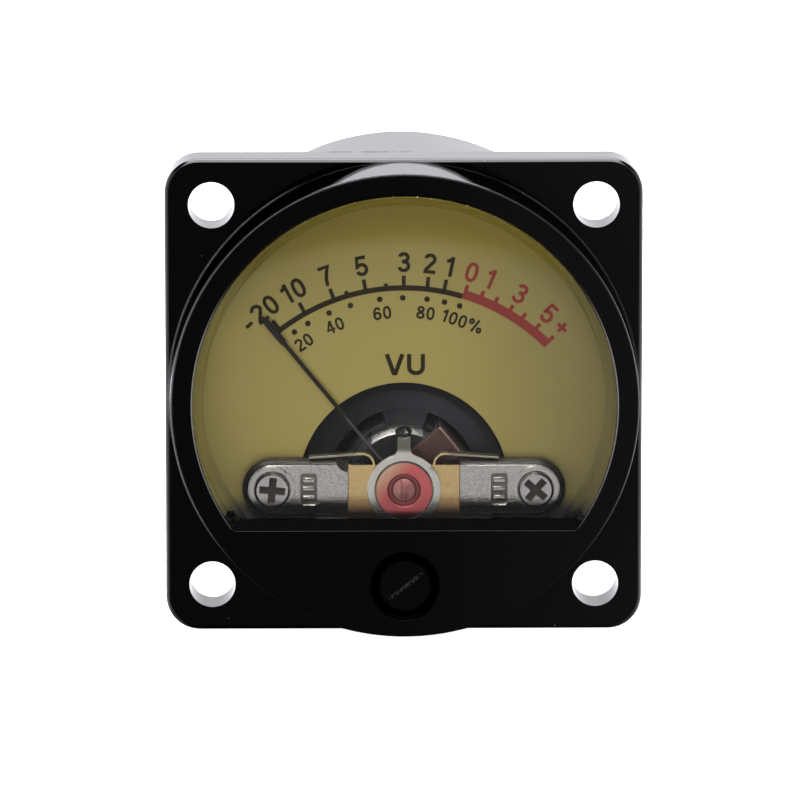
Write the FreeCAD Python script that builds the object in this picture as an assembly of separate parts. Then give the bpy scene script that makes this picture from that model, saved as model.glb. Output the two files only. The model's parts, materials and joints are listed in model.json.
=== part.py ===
import FreeCAD, Part
import math
import os

# Round panel VU meter with a moving-coil movement, as an assembly of separate pieces.
# Millimetres. +Z is up, +Y runs from the face into the panel, and the origin is the
# centre of the flange's seating face. The pointer and its stops move about an axis
# along Y that lies PIVOT_DROP below the centre of the case.

# ---- Case ----
BARREL_LENGTH = 15.5       # body behind the panel
BARREL_WALL = 1.2
BARREL_EDGE = 0.5          # chamfer on the rear rim
FLANGE_MARGIN = 0.5        # flange side beyond the barrel, each way
FLANGE_THICK = 3.9
FLANGE_CORNER_R = 2.5
FLANGE_EDGE_R = 0.3
HOLE_INSET = 3.4           # mounting hole centres from the flange's sides
HOLE_R = 1.7
BEZEL_MARGIN = 0.1         # bezel radius beyond the barrel
BEZEL_PROUD = 5.2          # bezel front ahead of the flange front
BEZEL_DRAFT = 0.2          # bezel radius gained between its front and the flange
BEZEL_EDGE = 0.25          # chamfer round the bezel front
BEZEL_RIM = 1.6            # wall between bezel side and window aperture
CHORD_DROP = 9.2           # lower edge of the aperture, below the centre
CHORD_WALL = 1.0
APERTURE_EDGE = 0.1        # chamfer round the window aperture
FRONT_WALL = 2.2           # bezel wall in front of the zero adjuster
SPIGOT_WALL = 0.95         # ring of the rear housing that enters the flange
SPIGOT_INNER = 1.5         # depth of that ring behind the seating face
LEDGE = 0.5                # step that carries the diffuser, and the one for the cover
MOULD_FIT = 0.05           # radial clearance between moulded parts

# ---- Window ----
PANE_SETBACK = 0.1
PANE_THICK = 1.0
TRAY_WALL = 0.7            # wall that runs from the pane to the dial
CHORD_WALL_RELIEF = 0.3    # case wall under the pane stops this far ahead of the bush

# ---- Dial and lighting ----
DIAL_AHEAD = 2.95          # dial face ahead of the seating face
DIAL_THICK = 0.3
DIAL_CLEAR = 0.2           # cut-out round the movement
DIFFUSER_THICK = 0.6
LAMP_R = 1.5
LAMP_LENGTH = 5.0
LAMP_TIP = 0.9
LAMP_SPACING = 7.0
BOARD_SIDE = 0.2           # lamp board beyond the collars of its terminals
BOARD_HEIGHT = 4.6
BOARD_THICK = 0.8

# ---- Movement frame ----
PIVOT_DROP = 6.9           # pivot axis below the centre
EAR_X = 9.683              # frame screws from the centre line
EAR_THICK = 1.3
EAR_R = 2.2
EAR_GAP = 0.66             # ear ends to the window's wall
EAR_EDGE = 0.42
SHELF_INNER = 2.9          # ledges under the front bridge, from the centre line
SHELF_REACH = 4.7          # foot of the bridge below the pivot
SHELF_SIDE = 2.4           # width of the frame's foot beyond the bridge
SHELL_WALL = 0.55
SHELL_AHEAD = 1.8          # shell front ahead of the seating face
STRUT_HALF = 2.0           # half height of the struts that carry the ears
REAR_LUG_HALF_DEG = 12.0
NOTCH_R = 0.9
RIB_RECESS_WIDTH = 1.22
RIB_RECESS_HEIGHT = 2.34
RIB_RECESS_DEPTH = 0.22
RIB_RECESS_X = 7.0
RIB_RECESS_CORNER = 0.25
RIB_SIDE_GAP = 0.2
RIB_COUNT = 3
RIM_WIDTH = 0.4            # raised rim round each frame screw
RIM_PROUD = 0.08
POST_R = 1.9
POST_RIB = 1.2
POST_RELIEF = 0.15

# ---- Magnet system and coil ----
CORE_R = 4.2
CORE_LENGTH = 10.2
CORE_EDGE = 0.42
COIL_AIR = 0.25            # core to former
COIL_END_AIR = 0.35        # core ends to the former's cross bars
FORMER_THICK = 0.1
WINDING_THICK = 0.35
COIL_WIDTH = 3.5
COIL_SETBACK = 0.15        # coil front behind the dial face
YOKE_AIR = 0.3             # coil corners to the yoke ring
YOKE_WALL = 1.45
YOKE_LENGTH = 8.8
YOKE_AHEAD = 1.1
SPACER_HALF_DEG = 18.0
SPACER_TURN_DEG = 1.7
SPACER_LENGTH = 7.0
METAL_FIT = 0.03           # radial clearance of a seated metal part

# ---- Pointer and pivots ----
POINTER_REST_DEG = -39.3   # from straight up, clockwise seen from the front
POINTER_LENGTH = 16.5
POINTER_WIDTH = 0.3
POINTER_TIP_WIDTH = 0.5
POINTER_TIP_LENGTH = 2.4
POINTER_THICK = 0.12
POINTER_EYE_R = 0.5
HUB_R = 0.9
HUB_THICK = 0.45
STAFF_R = 0.15
STAFF_TIP = 0.2
COLLET_R = 0.4
JEWEL_CLEAR = 0.07
WEIGHT_ARM = 2.3
WEIGHT_ARM_R = 0.09
WEIGHT_LENGTH = 0.8
WEIGHT_FIT = 0.02
SPRING_GAP = 0.13          # pointer to front spring
SPRING_WIDTH = 0.25
SPRING_THICK = 0.07
SPRING_INNER_R = 0.75
SPRING_OUTER_R = 2.0
SPRING_TURNS = 4
REAR_HUB_THICK = 0.35
REAR_BRIDGE_AIR = 0.25
REAR_BRIDGE_THICK = 0.7
REAR_BRIDGE_HALF = 1.6
REAR_SPRING_REACH = 3.3

# ---- Front bridge, bush and zero lever ----
BRIDGE_HALF = 4.08
BRIDGE_THICK = 0.35
BRIDGE_RISE = 1.8          # bridge top above the pivot
BRIDGE_SIDE_GAP = 0.04
STOP_RISE = 0.02
STOP_CURL_R = 0.88
STOP_OFFSET = 2.14         # inner side of each stop arm from the centre line
STOP_REACH = 3.9           # straight run of each stop arm
STOP_SLOPE_DEG = 4.0
STOP_SHEET = 0.15
STOP_DIAL_GAP = 0.25
BUSH_R = 2.1
BUSH_HEAD = 0.55
BUSH_SHANK_R = 1.0
BUSH_SINK_R = 1.22
BUSH_SINK = 0.4
JEWEL_HEAD_R = 0.82
JEWEL_HEAD = 0.35
JEWEL_SHANK_R = 0.6
JEWEL_SLOT = 0.42
JEWEL_SLOT_DEPTH = 0.15
LEVER_THICK = 0.35
LEVER_GAP = 0.1
LEVER_RING = 0.57
LEVER_ARM_WIDTH = 0.98
LEVER_ROOT_R = 0.5         # fillet where the arm leaves the ring
LEVER_ARM_REACH = 3.95
SOLDER_R = 0.45
SOLDER_REACH = 4.35
LEVER_RUN_FIT = 0.05

# ---- Zero adjuster ----
ZERO_HEAD_R = 1.92
ZERO_HEAD = 0.9
ZERO_SINK_R = 2.55
ZERO_SINK = 1.15
ZERO_SHAFT_R = 1.25
ZERO_PIN_R = 0.25
ZERO_PIN_THROW = 0.9
ZERO_SLOT = 0.42
ZERO_SLOT_DEPTH = 0.45
ZERO_SLOT_DEG = 38.0
ZERO_END_GAP = 0.6         # shaft end to the lever
ZERO_CLIP_R = 1.9
ZERO_CLIP_THICK = 0.4
ZERO_CLIP_GAP = 0.1
ZERO_CLIP_SIDE = 0.3       # clip to the case wall below it
FORK_CLEAR = 0.12
FORK_PRONG = 0.48
FORK_TIP = 0.05            # prongs reach past the screw's axis distance

# ---- Screws ----
FRAME_SCREW_HEAD_R = 1.3
FRAME_SCREW_HEAD = 0.6
FRAME_SCREW_EDGE = 0.15
FRAME_SCREW_R = 0.5
FRAME_SCREW_LENGTH = 6.2
CROSS_WIDTH = 0.55
CROSS_LENGTH = 1.9
CROSS_DEPTH = 0.4
LEFT_CROSS_DEG = 5.0
RIGHT_CROSS_DEG = 40.0
SMALL_SCREW_HEAD_R = 0.7
SMALL_SCREW_HEAD = 0.3
SMALL_SCREW_R = 0.35
SMALL_SCREW_SLOT = 0.2
BRIDGE_SCREW_SIDE = 0.63   # front bridge's screws from its sides
BRIDGE_SCREW_RISE = 0.9    # and from its foot
REAR_SCREW_HEAD_R = 0.85
REAR_SCREW_HEAD = 0.5
COVER_SCREW_HEAD_R = 1.2
COVER_SCREW_R = 0.5
COVER_SCREW_X = 12.2
COVER_SCREW_RISE = 4.5
COVER_BOSS_R = 1.4
COVER_BOSS_LENGTH = 4.0
COVER_THICK = 1.2
COVER_SINK = 0.6

# ---- Terminals ----
TERMINAL_R = 0.6
TERMINAL_COLLAR_R = 1.3
TERMINAL_COLLAR = 0.8
TERMINAL_PROUD = 4.0
TERMINAL_WASHER = 0.4
TERMINAL_BLADE = 0.5
TERMINAL_EYE_R = 0.5
TERMINAL_INNER = 0.3
METER_TERMINAL_X = 9.0
METER_TERMINAL_Z = 0.0
LAMP_TERMINAL_X = 6.5
LAMP_TERMINAL_Z = 8.0

# ---- Worked out from the sizes above ----
ALONG = FreeCAD.Vector(0, 1, 0)
TRAY_BORE_R = math.hypot(EAR_X, PIVOT_DROP) + EAR_R + EAR_GAP
TRAY_R = TRAY_BORE_R + TRAY_WALL
WINDOW_R = TRAY_R + MOULD_FIT
BEZEL_R = WINDOW_R + BEZEL_RIM
BARREL_R = BEZEL_R - BEZEL_MARGIN
FLANGE_SIDE = 2 * (BARREL_R + FLANGE_MARGIN)
BEZEL_FRONT = -FLANGE_THICK - BEZEL_PROUD
FRONT_WALL_BACK = BEZEL_FRONT + FRONT_WALL
SPIGOT_R = BARREL_R - BARREL_WALL + MOULD_FIT
FLANGE_BORE_R = SPIGOT_R + MOULD_FIT

PIVOT_Z = -PIVOT_DROP
DIAL_FRONT = -DIAL_AHEAD
DIAL_BACK = DIAL_FRONT + DIAL_THICK
EAR_FRONT = DIAL_FRONT - EAR_THICK
BRIDGE_BACK = EAR_FRONT + BRIDGE_THICK
BRIDGE_FOOT_Z = PIVOT_Z - SHELF_REACH
BRIDGE_SCREW_X = BRIDGE_HALF - BRIDGE_SCREW_SIDE
BRIDGE_SCREW_Z = BRIDGE_FOOT_Z + BRIDGE_SCREW_RISE
BUSH_FRONT = EAR_FRONT - BUSH_HEAD
LEVER_BACK = EAR_FRONT - LEVER_GAP
LEVER_FRONT = LEVER_BACK - LEVER_THICK
CHORD_WALL_BACK = BUSH_FRONT - CHORD_WALL_RELIEF

FORMER_IN = CORE_R + COIL_AIR
WINDING_IN = FORMER_IN + FORMER_THICK
COIL_OUT = WINDING_IN + WINDING_THICK
COIL_FRONT = DIAL_FRONT + COIL_SETBACK
CORE_FRONT = COIL_FRONT + WINDING_THICK + FORMER_THICK + COIL_END_AIR
CORE_BACK = CORE_FRONT + CORE_LENGTH
COIL_BACK = CORE_BACK + COIL_END_AIR + FORMER_THICK + WINDING_THICK
YOKE_IN = math.hypot(COIL_OUT, COIL_WIDTH / 2) + YOKE_AIR
YOKE_OUT = YOKE_IN + YOKE_WALL
YOKE_FRONT = -YOKE_AHEAD
YOKE_BACK = YOKE_FRONT + YOKE_LENGTH
SHELL_IN = YOKE_OUT + METAL_FIT
SHELL_OUT = SHELL_IN + SHELL_WALL
DIAL_CUT_R = SHELL_OUT + DIAL_CLEAR

HUB_FRONT = COIL_FRONT - HUB_THICK
POINTER_FRONT = HUB_FRONT - POINTER_THICK
SPRING_BACK = POINTER_FRONT - SPRING_GAP
SPRING_FRONT = SPRING_BACK - SPRING_WIDTH
WEIGHT_R = HUB_THICK / 2 - WEIGHT_FIT
REAR_HUB_BACK = COIL_BACK + REAR_HUB_THICK
REAR_SPRING_FRONT = REAR_HUB_BACK + SPRING_GAP
REAR_SPRING_BACK = REAR_SPRING_FRONT + SPRING_WIDTH
REAR_BRIDGE_FRONT = REAR_SPRING_BACK + REAR_BRIDGE_AIR
REAR_BRIDGE_BACK = REAR_BRIDGE_FRONT + REAR_BRIDGE_THICK
REAR_LUG_R = (YOKE_IN + SHELL_OUT) / 2

ZERO_DROP = WINDOW_R - ZERO_CLIP_R - ZERO_CLIP_SIDE
ZERO_Z = -ZERO_DROP
LEVER_TO_SCREW = ZERO_DROP - PIVOT_DROP
ZERO_SHAFT_END = LEVER_FRONT - ZERO_END_GAP
COVER_FRONT = BARREL_LENGTH - COVER_THICK
COLLAR_FRONT = COVER_FRONT - TERMINAL_COLLAR
BOARD_FRONT = COLLAR_FRONT - BOARD_THICK
TERMINAL_END = BARREL_LENGTH + TERMINAL_PROUD
METER_TERMINALS = [(-METER_TERMINAL_X, METER_TERMINAL_Z), (METER_TERMINAL_X, METER_TERMINAL_Z)]
LAMP_TERMINALS = [(-LAMP_TERMINAL_X, LAMP_TERMINAL_Z), (LAMP_TERMINAL_X, LAMP_TERMINAL_Z)]
COVER_SCREWS = [(-COVER_SCREW_X, COVER_SCREW_RISE), (COVER_SCREW_X, COVER_SCREW_RISE)]
EARS = [(-1, LEFT_CROSS_DEG), (1, RIGHT_CROSS_DEG)]


# ---- Shapes along the Y axis ----
def at(x, y, z):
    return FreeCAD.Vector(x, y, z)


def disc(radius, y_front, y_back, x=0.0, z=0.0):
    return Part.makeCylinder(radius, y_back - y_front, at(x, y_front, z), ALONG)


def ring(outer, inner, y_front, y_back, x=0.0, z=0.0):
    return disc(outer, y_front, y_back, x, z).cut(disc(inner, y_front, y_back, x, z))


def cone(r_front, r_back, y_front, y_back, x=0.0, z=0.0):
    return Part.makeCone(r_front, r_back, y_back - y_front, at(x, y_front, z), ALONG)


def block(x_low, x_high, y_front, y_back, z_low, z_high):
    corner = at(x_low, y_front, z_low)
    return Part.makeBox(x_high - x_low, y_back - y_front, z_high - z_low, corner)


def turned(profile, x=0.0, z=0.0):
    """Revolve a closed (radius, y) profile round an axis along Y."""
    corners = [at(x + radius, y, z) for radius, y in profile + profile[:1]]
    solid = Part.Face(Part.makePolygon(corners)).revolve(at(x, 0, z), ALONG, 360)
    if solid.Volume < 0:
        solid.reverse()
    return solid


def turn(shape, degrees, x=0.0, z=PIVOT_Z):
    """Turn clockwise, seen from the front, about an axis along Y."""
    turned_shape = shape.copy()
    turned_shape.rotate(at(x, 0, z), ALONG, degrees)
    return turned_shape


def fuse(shapes):
    return shapes[0].fuse(shapes[1:]).removeSplitter()


def cut(shape, tools):
    return shape.cut(tools).removeSplitter()


def between(shape, z_low, z_high):
    """The part of a shape that lies between two heights."""
    reach = shape.BoundBox
    room = reach.DiagonalLength
    return shape.common(block(reach.XMin - room, reach.XMax + room, reach.YMin - room,
                              reach.YMax + room, z_low, z_high))


def above(shape, z_low):
    return between(shape, z_low, z_low + shape.BoundBox.DiagonalLength)


def below(shape, z_high):
    return between(shape, z_high - shape.BoundBox.DiagonalLength, z_high)


def sector(outer, inner, middle_deg, half_deg, y_front, y_back):
    """Ring segment about the pivot, its middle turned clockwise from straight up."""
    reach = 2 * outer
    side = reach * math.tan(math.radians(half_deg))
    wedge_points = [at(0, y_front, PIVOT_Z), at(-side, y_front, PIVOT_Z + reach),
                    at(side, y_front, PIVOT_Z + reach), at(0, y_front, PIVOT_Z)]
    wedge = Part.Face(Part.makePolygon(wedge_points)).extrude(at(0, y_back - y_front, 0))
    return turn(ring(outer, inner, y_front, y_back, 0, PIVOT_Z).common(wedge), middle_deg)


def round_edges(shape, radius, chosen):
    return shape.makeFillet(radius, [edge for edge in shape.Edges if chosen(edge)])


def chamfer_edges(shape, width, chosen):
    return shape.makeChamfer(width, [edge for edge in shape.Edges if chosen(edge)])


def lies_at(edge, y):
    box = edge.BoundBox
    return abs(box.YMin - y) < 1e-4 and abs(box.YMax - y) < 1e-4


def runs_along(edge, length):
    box = edge.BoundBox
    return abs(box.YLength - length) < 1e-4 and box.XLength < 1e-4 and box.ZLength < 1e-4


# ---- Case ----
def hole_centres():
    offset = FLANGE_SIDE / 2 - HOLE_INSET
    return [(i * offset, k * offset) for i in (-1, 1) for k in (-1, 1)]


def flange():
    half = FLANGE_SIDE / 2
    plate = block(-half, half, -FLANGE_THICK, 0, -half, half)
    plate = round_edges(plate, FLANGE_CORNER_R, lambda edge: runs_along(edge, FLANGE_THICK))
    plate = round_edges(plate, FLANGE_EDGE_R, lambda edge: lies_at(edge, -FLANGE_THICK))
    return plate


def front_case():
    base_r = BEZEL_R + BEZEL_DRAFT
    bezel = turned([(0, BEZEL_FRONT), (BEZEL_R - BEZEL_EDGE, BEZEL_FRONT),
                    (BEZEL_R, BEZEL_FRONT + BEZEL_EDGE), (base_r, -FLANGE_THICK), (base_r, 0), (0, 0)])
    body = fuse([flange(), bezel])
    aperture = above(disc(WINDOW_R, BEZEL_FRONT, DIAL_FRONT), -CHORD_DROP)
    pocket = below(disc(WINDOW_R, FRONT_WALL_BACK, DIAL_FRONT), -CHORD_DROP - CHORD_WALL)
    body = cut(body, [aperture, pocket])
    body = chamfer_edges(body, APERTURE_EDGE, on_aperture_edge)
    cavity = disc(WINDOW_R, CHORD_WALL_BACK, DIAL_FRONT)
    bore = disc(FLANGE_BORE_R, DIAL_FRONT, 0)
    sink = disc(ZERO_SINK_R, BEZEL_FRONT, BEZEL_FRONT + ZERO_SINK, 0, ZERO_Z)
    shaft_hole = disc(ZERO_SHAFT_R + MOULD_FIT, BEZEL_FRONT, FRONT_WALL_BACK, 0, ZERO_Z)
    holes = [disc(HOLE_R, -FLANGE_THICK, 0, x, z) for x, z in hole_centres()]
    return cut(body, [cavity, bore, sink, shaft_hole] + holes)


def on_aperture_edge(edge):
    box = edge.BoundBox
    reach = max(abs(box.XMin), abs(box.XMax), abs(box.ZMax))
    return lies_at(edge, BEZEL_FRONT) and reach < WINDOW_R + BEZEL_RIM / 4


def window():
    front = BEZEL_FRONT + PANE_SETBACK
    tray = above(disc(TRAY_R, front, DIAL_FRONT), MOULD_FIT - CHORD_DROP)
    return cut(tray, [disc(TRAY_BORE_R, front + PANE_THICK, DIAL_FRONT)])


def housing_post(side):
    post = disc(POST_R, DIAL_BACK, COVER_FRONT - LEDGE, side * EAR_X, PIVOT_Z)
    reach = math.hypot(EAR_X, PIVOT_DROP)
    rib = block(reach, BARREL_R - BARREL_WALL / 2, SPIGOT_INNER, COVER_FRONT - LEDGE,
                -POST_RIB / 2, POST_RIB / 2)
    angle = math.degrees(math.atan2(PIVOT_DROP, side * EAR_X))
    rib = turn(rib, angle, 0, 0)
    bore = disc(FRAME_SCREW_R + METAL_FIT, DIAL_BACK, EAR_FRONT + FRAME_SCREW_LENGTH + LEDGE,
                side * EAR_X, PIVOT_Z)
    return post.fuse(rib), bore


def cover_boss(x, z):
    boss = disc(COVER_BOSS_R, COVER_FRONT - COVER_BOSS_LENGTH, COVER_FRONT, x, z)
    rib = block(math.hypot(x, z), BARREL_R - BARREL_WALL / 2, COVER_FRONT - COVER_BOSS_LENGTH,
                COVER_FRONT - LEDGE, -POST_RIB / 2, POST_RIB / 2)
    rib = turn(rib, -math.degrees(math.atan2(z, x)), 0, 0)
    bore = disc(COVER_SCREW_R + METAL_FIT, COVER_FRONT - COVER_BOSS_LENGTH, COVER_FRONT, x, z)
    return boss.fuse(rib), bore


def rear_housing():
    inner = BARREL_R - BARREL_WALL
    spigot_bore = SPIGOT_R - SPIGOT_WALL
    ledge_bore = spigot_bore - LEDGE
    wall = turned([
        (BARREL_R, 0), (BARREL_R, BARREL_LENGTH - BARREL_EDGE),
        (BARREL_R - BARREL_EDGE, BARREL_LENGTH), (inner, BARREL_LENGTH), (inner, COVER_FRONT),
        (inner - LEDGE, COVER_FRONT), (inner - LEDGE, COVER_FRONT - LEDGE),
        (inner, COVER_FRONT - 2 * LEDGE), (inner, SPIGOT_INNER), (ledge_bore, SPIGOT_INNER),
        (ledge_bore, DIAL_BACK + DIFFUSER_THICK), (spigot_bore, DIAL_BACK + DIFFUSER_THICK),
        (spigot_bore, DIAL_BACK), (SPIGOT_R, DIAL_BACK), (SPIGOT_R, 0)])
    supports = [housing_post(side) for side, _ in EARS]
    supports += [cover_boss(x, z) for x, z in COVER_SCREWS]
    body = fuse([wall] + [support for support, _ in supports])
    relief = disc(SHELL_OUT + POST_RELIEF, DIAL_BACK, COVER_FRONT - LEDGE, 0, PIVOT_Z)
    return cut(body, [relief] + [bore for _, bore in supports])


def rear_cover():
    plate = disc(BARREL_R - BARREL_WALL - MOULD_FIT, COVER_FRONT, BARREL_LENGTH)
    sinks = [disc(COVER_SCREW_HEAD_R + MOULD_FIT, BARREL_LENGTH - COVER_SINK, BARREL_LENGTH, x, z)
             for x, z in COVER_SCREWS]
    holes = [disc(COVER_SCREW_R + MOULD_FIT, COVER_FRONT, BARREL_LENGTH, x, z) for x, z in COVER_SCREWS]
    pins = [disc(TERMINAL_R + METAL_FIT, COVER_FRONT, BARREL_LENGTH, x, z)
            for x, z in METER_TERMINALS + LAMP_TERMINALS]
    return cut(plate, sinks + holes + pins)


def cover_screws():
    screws = []
    for x, z in COVER_SCREWS:
        seat = BARREL_LENGTH - COVER_SINK
        head = disc(COVER_SCREW_HEAD_R, seat, BARREL_LENGTH, x, z)
        shank = disc(COVER_SCREW_R, COVER_FRONT - COVER_BOSS_LENGTH + LEDGE, seat, x, z)
        screws.append(head.fuse(shank).cut(cross_recess(x, z, BARREL_LENGTH - CROSS_DEPTH, 0.0)))
    return screws


def cross_recess(x, z, y_front, degrees):
    arms = [block(x - length / 2, x + length / 2, y_front, y_front + CROSS_DEPTH,
                  z - width / 2, z + width / 2)
            for length, width in ((CROSS_LENGTH, CROSS_WIDTH), (CROSS_WIDTH, CROSS_LENGTH))]
    return turn(arms[0].fuse(arms[1]), degrees, x, z)


# ---- Dial and lighting ----
def dial_opening(radius, y_front, y_back):
    """Half-round opening above the pivot, open to the edge below it."""
    arch = disc(radius, y_front, y_back, 0, PIVOT_Z)
    gap = block(-radius, radius, y_front, y_back, -BARREL_R, PIVOT_Z)
    return arch.fuse(gap)


def dial_plate():
    plate = disc(SPIGOT_R, DIAL_FRONT, DIAL_BACK)
    holes = [disc(FRAME_SCREW_R + LEDGE / 2, DIAL_FRONT, DIAL_BACK, side * EAR_X, PIVOT_Z)
             for side, _ in EARS]
    return cut(plate, [dial_opening(DIAL_CUT_R, DIAL_FRONT, DIAL_BACK)] + holes)


def diffuser():
    back = DIAL_BACK + DIFFUSER_THICK
    plate = disc(SPIGOT_R - SPIGOT_WALL - MOULD_FIT, DIAL_BACK, back)
    posts = [disc(POST_R + 2 * MOULD_FIT, DIAL_BACK, back, side * EAR_X, PIVOT_Z) for side, _ in EARS]
    return cut(plate, [dial_opening(DIAL_CUT_R, DIAL_BACK, back)] + posts)


def lamp_board():
    low = LAMP_TERMINAL_Z - BOARD_HEIGHT / 2
    half = LAMP_TERMINAL_X + TERMINAL_COLLAR_R + BOARD_SIDE
    plate = block(-half, half, BOARD_FRONT, COLLAR_FRONT, low, low + BOARD_HEIGHT)
    pins = [disc(TERMINAL_R + METAL_FIT, BOARD_FRONT, COLLAR_FRONT, x, z) for x, z in LAMP_TERMINALS]
    return cut(plate, pins)


def lamps():
    bulbs = []
    for side in (-1, 1):
        x = side * LAMP_SPACING / 2
        tip = BOARD_FRONT - LAMP_LENGTH
        envelope = disc(LAMP_R, tip, BOARD_FRONT, x, LAMP_TERMINAL_Z)
        bulbs.append(chamfer_edges(envelope, LAMP_TIP, lambda edge: lies_at(edge, tip)))
    return bulbs


def terminal(x, z, y_inner):
    pin = disc(TERMINAL_R, y_inner, BARREL_LENGTH + TERMINAL_WASHER, x, z)
    collar = disc(TERMINAL_COLLAR_R, COLLAR_FRONT, COVER_FRONT, x, z)
    washer = disc(TERMINAL_COLLAR_R, BARREL_LENGTH, BARREL_LENGTH + TERMINAL_WASHER, x, z)
    half = TERMINAL_BLADE / 2
    blade = block(x - TERMINAL_COLLAR_R, x + TERMINAL_COLLAR_R, BARREL_LENGTH + TERMINAL_WASHER,
                  TERMINAL_END - TERMINAL_COLLAR_R, z - half, z + half)
    upright = FreeCAD.Vector(0, 0, 1)
    centre = at(x, TERMINAL_END - TERMINAL_COLLAR_R, z - half)
    tip = Part.makeCylinder(TERMINAL_COLLAR_R, TERMINAL_BLADE, centre, upright)
    eye = Part.makeCylinder(TERMINAL_EYE_R, TERMINAL_BLADE, centre, upright)
    return fuse([pin, collar, washer, blade, tip]).cut(eye)


def meter_terminals():
    return [terminal(x, z, COLLAR_FRONT - TERMINAL_INNER) for x, z in METER_TERMINALS]


def lamp_terminals():
    return [terminal(x, z, BOARD_FRONT - TERMINAL_INNER) for x, z in LAMP_TERMINALS]


# ---- Movement frame ----
def ear(side):
    inner = BRIDGE_HALF + BRIDGE_SIDE_GAP
    low, high = sorted((side * inner, side * EAR_X))
    arm = block(low, high, EAR_FRONT, DIAL_FRONT, PIVOT_Z - EAR_R, PIVOT_Z + EAR_R)
    end = disc(EAR_R, EAR_FRONT, DIAL_FRONT, side * EAR_X, PIVOT_Z)
    plate = fuse([arm, end])
    plate = chamfer_edges(plate, EAR_EDGE, lambda edge: lies_at(edge, EAR_FRONT) and not on_inner_end(edge))
    rim = disc(FRAME_SCREW_HEAD_R + RIM_WIDTH, EAR_FRONT - RIM_PROUD, DIAL_FRONT, side * EAR_X, PIVOT_Z)
    seat = disc(FRAME_SCREW_HEAD_R + MOULD_FIT, EAR_FRONT - RIM_PROUD, EAR_FRONT + RIM_PROUD,
                side * EAR_X, PIVOT_Z)
    hole = disc(FRAME_SCREW_R + MOULD_FIT, EAR_FRONT, DIAL_FRONT, side * EAR_X, PIVOT_Z)
    return cut(plate.fuse(rim), [seat, hole, rib_recess(side)])


def on_inner_end(edge):
    box = edge.BoundBox
    return box.XLength < 1e-4 and abs(abs(box.XMin) - BRIDGE_HALF - BRIDGE_SIDE_GAP) < 1e-4


def rib_recess(side):
    """Shallow recess in each ear round a column of plain raised ribs."""
    x = side * RIB_RECESS_X
    half = RIB_RECESS_WIDTH / 2
    floor = EAR_FRONT + RIB_RECESS_DEPTH
    low = PIVOT_Z - RIB_RECESS_HEIGHT / 2
    pocket = block(x - half, x + half, EAR_FRONT, floor, low, low + RIB_RECESS_HEIGHT)
    pocket = round_edges(pocket, RIB_RECESS_CORNER, lambda edge: runs_along(edge, RIB_RECESS_DEPTH))
    pitch = RIB_RECESS_HEIGHT / (2 * RIB_COUNT + 1)
    reach = half - RIB_SIDE_GAP
    feet = [low + (2 * i + 1) * pitch for i in range(RIB_COUNT)]
    ribs = [block(x - reach, x + reach, EAR_FRONT, floor, z, z + pitch) for z in feet]
    return cut(pocket, ribs)


def foot(side):
    """Ledge beside the coil on which the front bridge lies, down to its screw."""
    inner, outer = side * SHELF_INNER, side * (BRIDGE_HALF + SHELF_SIDE)
    middle = side * (BRIDGE_HALF + BRIDGE_SIDE_GAP)
    ledge = block(min(inner, middle), max(inner, middle), BRIDGE_BACK, DIAL_FRONT,
                  BRIDGE_FOOT_Z, PIVOT_Z + BRIDGE_RISE)
    base = block(min(inner, outer), max(inner, outer), BRIDGE_BACK, DIAL_FRONT,
                 BRIDGE_FOOT_Z, PIVOT_Z - EAR_R)
    return ledge.fuse(base)


def strut():
    """Front ends of the shell that join it to the ears."""
    collar = ring(SHELL_OUT, SHELL_IN - SHELL_WALL, DIAL_FRONT, -SHELL_AHEAD, 0, PIVOT_Z)
    return between(collar, PIVOT_Z - STRUT_HALF, PIVOT_Z + STRUT_HALF)


def rear_lug(side):
    return sector(SHELL_OUT, YOKE_IN, side * 90, REAR_LUG_HALF_DEG, YOKE_BACK, REAR_BRIDGE_FRONT)


def movement_frame():
    shell = ring(SHELL_OUT, SHELL_IN, -SHELL_AHEAD, YOKE_BACK + 2 * SHELL_WALL, 0, PIVOT_Z)
    parts = [shell, strut()]
    for side, _ in EARS:
        parts += [ear(side), foot(side), rear_lug(side)]
    body = fuse(parts)
    notch = disc(NOTCH_R, EAR_FRONT, DIAL_FRONT - EAR_EDGE, -BRIDGE_HALF, PIVOT_Z + EAR_R)
    bridge_threads = [disc(SMALL_SCREW_R + METAL_FIT, BRIDGE_BACK, DIAL_FRONT, side * BRIDGE_SCREW_X,
                           BRIDGE_SCREW_Z) for side, _ in EARS]
    rear_threads = [disc(SMALL_SCREW_R + METAL_FIT, YOKE_BACK + SHELL_WALL, REAR_BRIDGE_FRONT,
                         side * REAR_LUG_R, PIVOT_Z) for side, _ in EARS]
    return cut(body, [notch] + bridge_threads + rear_threads)


def frame_screws():
    screws = []
    for side, degrees in EARS:
        x = side * EAR_X
        seat = EAR_FRONT + RIM_PROUD
        head_front = seat - FRAME_SCREW_HEAD
        head = disc(FRAME_SCREW_HEAD_R, head_front, seat, x, PIVOT_Z)
        head = chamfer_edges(head, FRAME_SCREW_EDGE, lambda edge: lies_at(edge, head_front))
        shank = disc(FRAME_SCREW_R, seat, EAR_FRONT + FRAME_SCREW_LENGTH, x, PIVOT_Z)
        recess = cross_recess(x, PIVOT_Z, head_front, degrees)
        screws.append(head.fuse(shank).removeSplitter().cut(recess))
    return screws


# ---- Magnet system ----
def yoke_ring():
    return ring(YOKE_OUT, YOKE_IN, YOKE_FRONT, YOKE_BACK, 0, PIVOT_Z)


def core_magnet():
    return turned([(0, CORE_FRONT), (CORE_R - CORE_EDGE, CORE_FRONT), (CORE_R, CORE_FRONT + CORE_EDGE),
                   (CORE_R, CORE_BACK), (0, CORE_BACK)], 0, PIVOT_Z)


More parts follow.
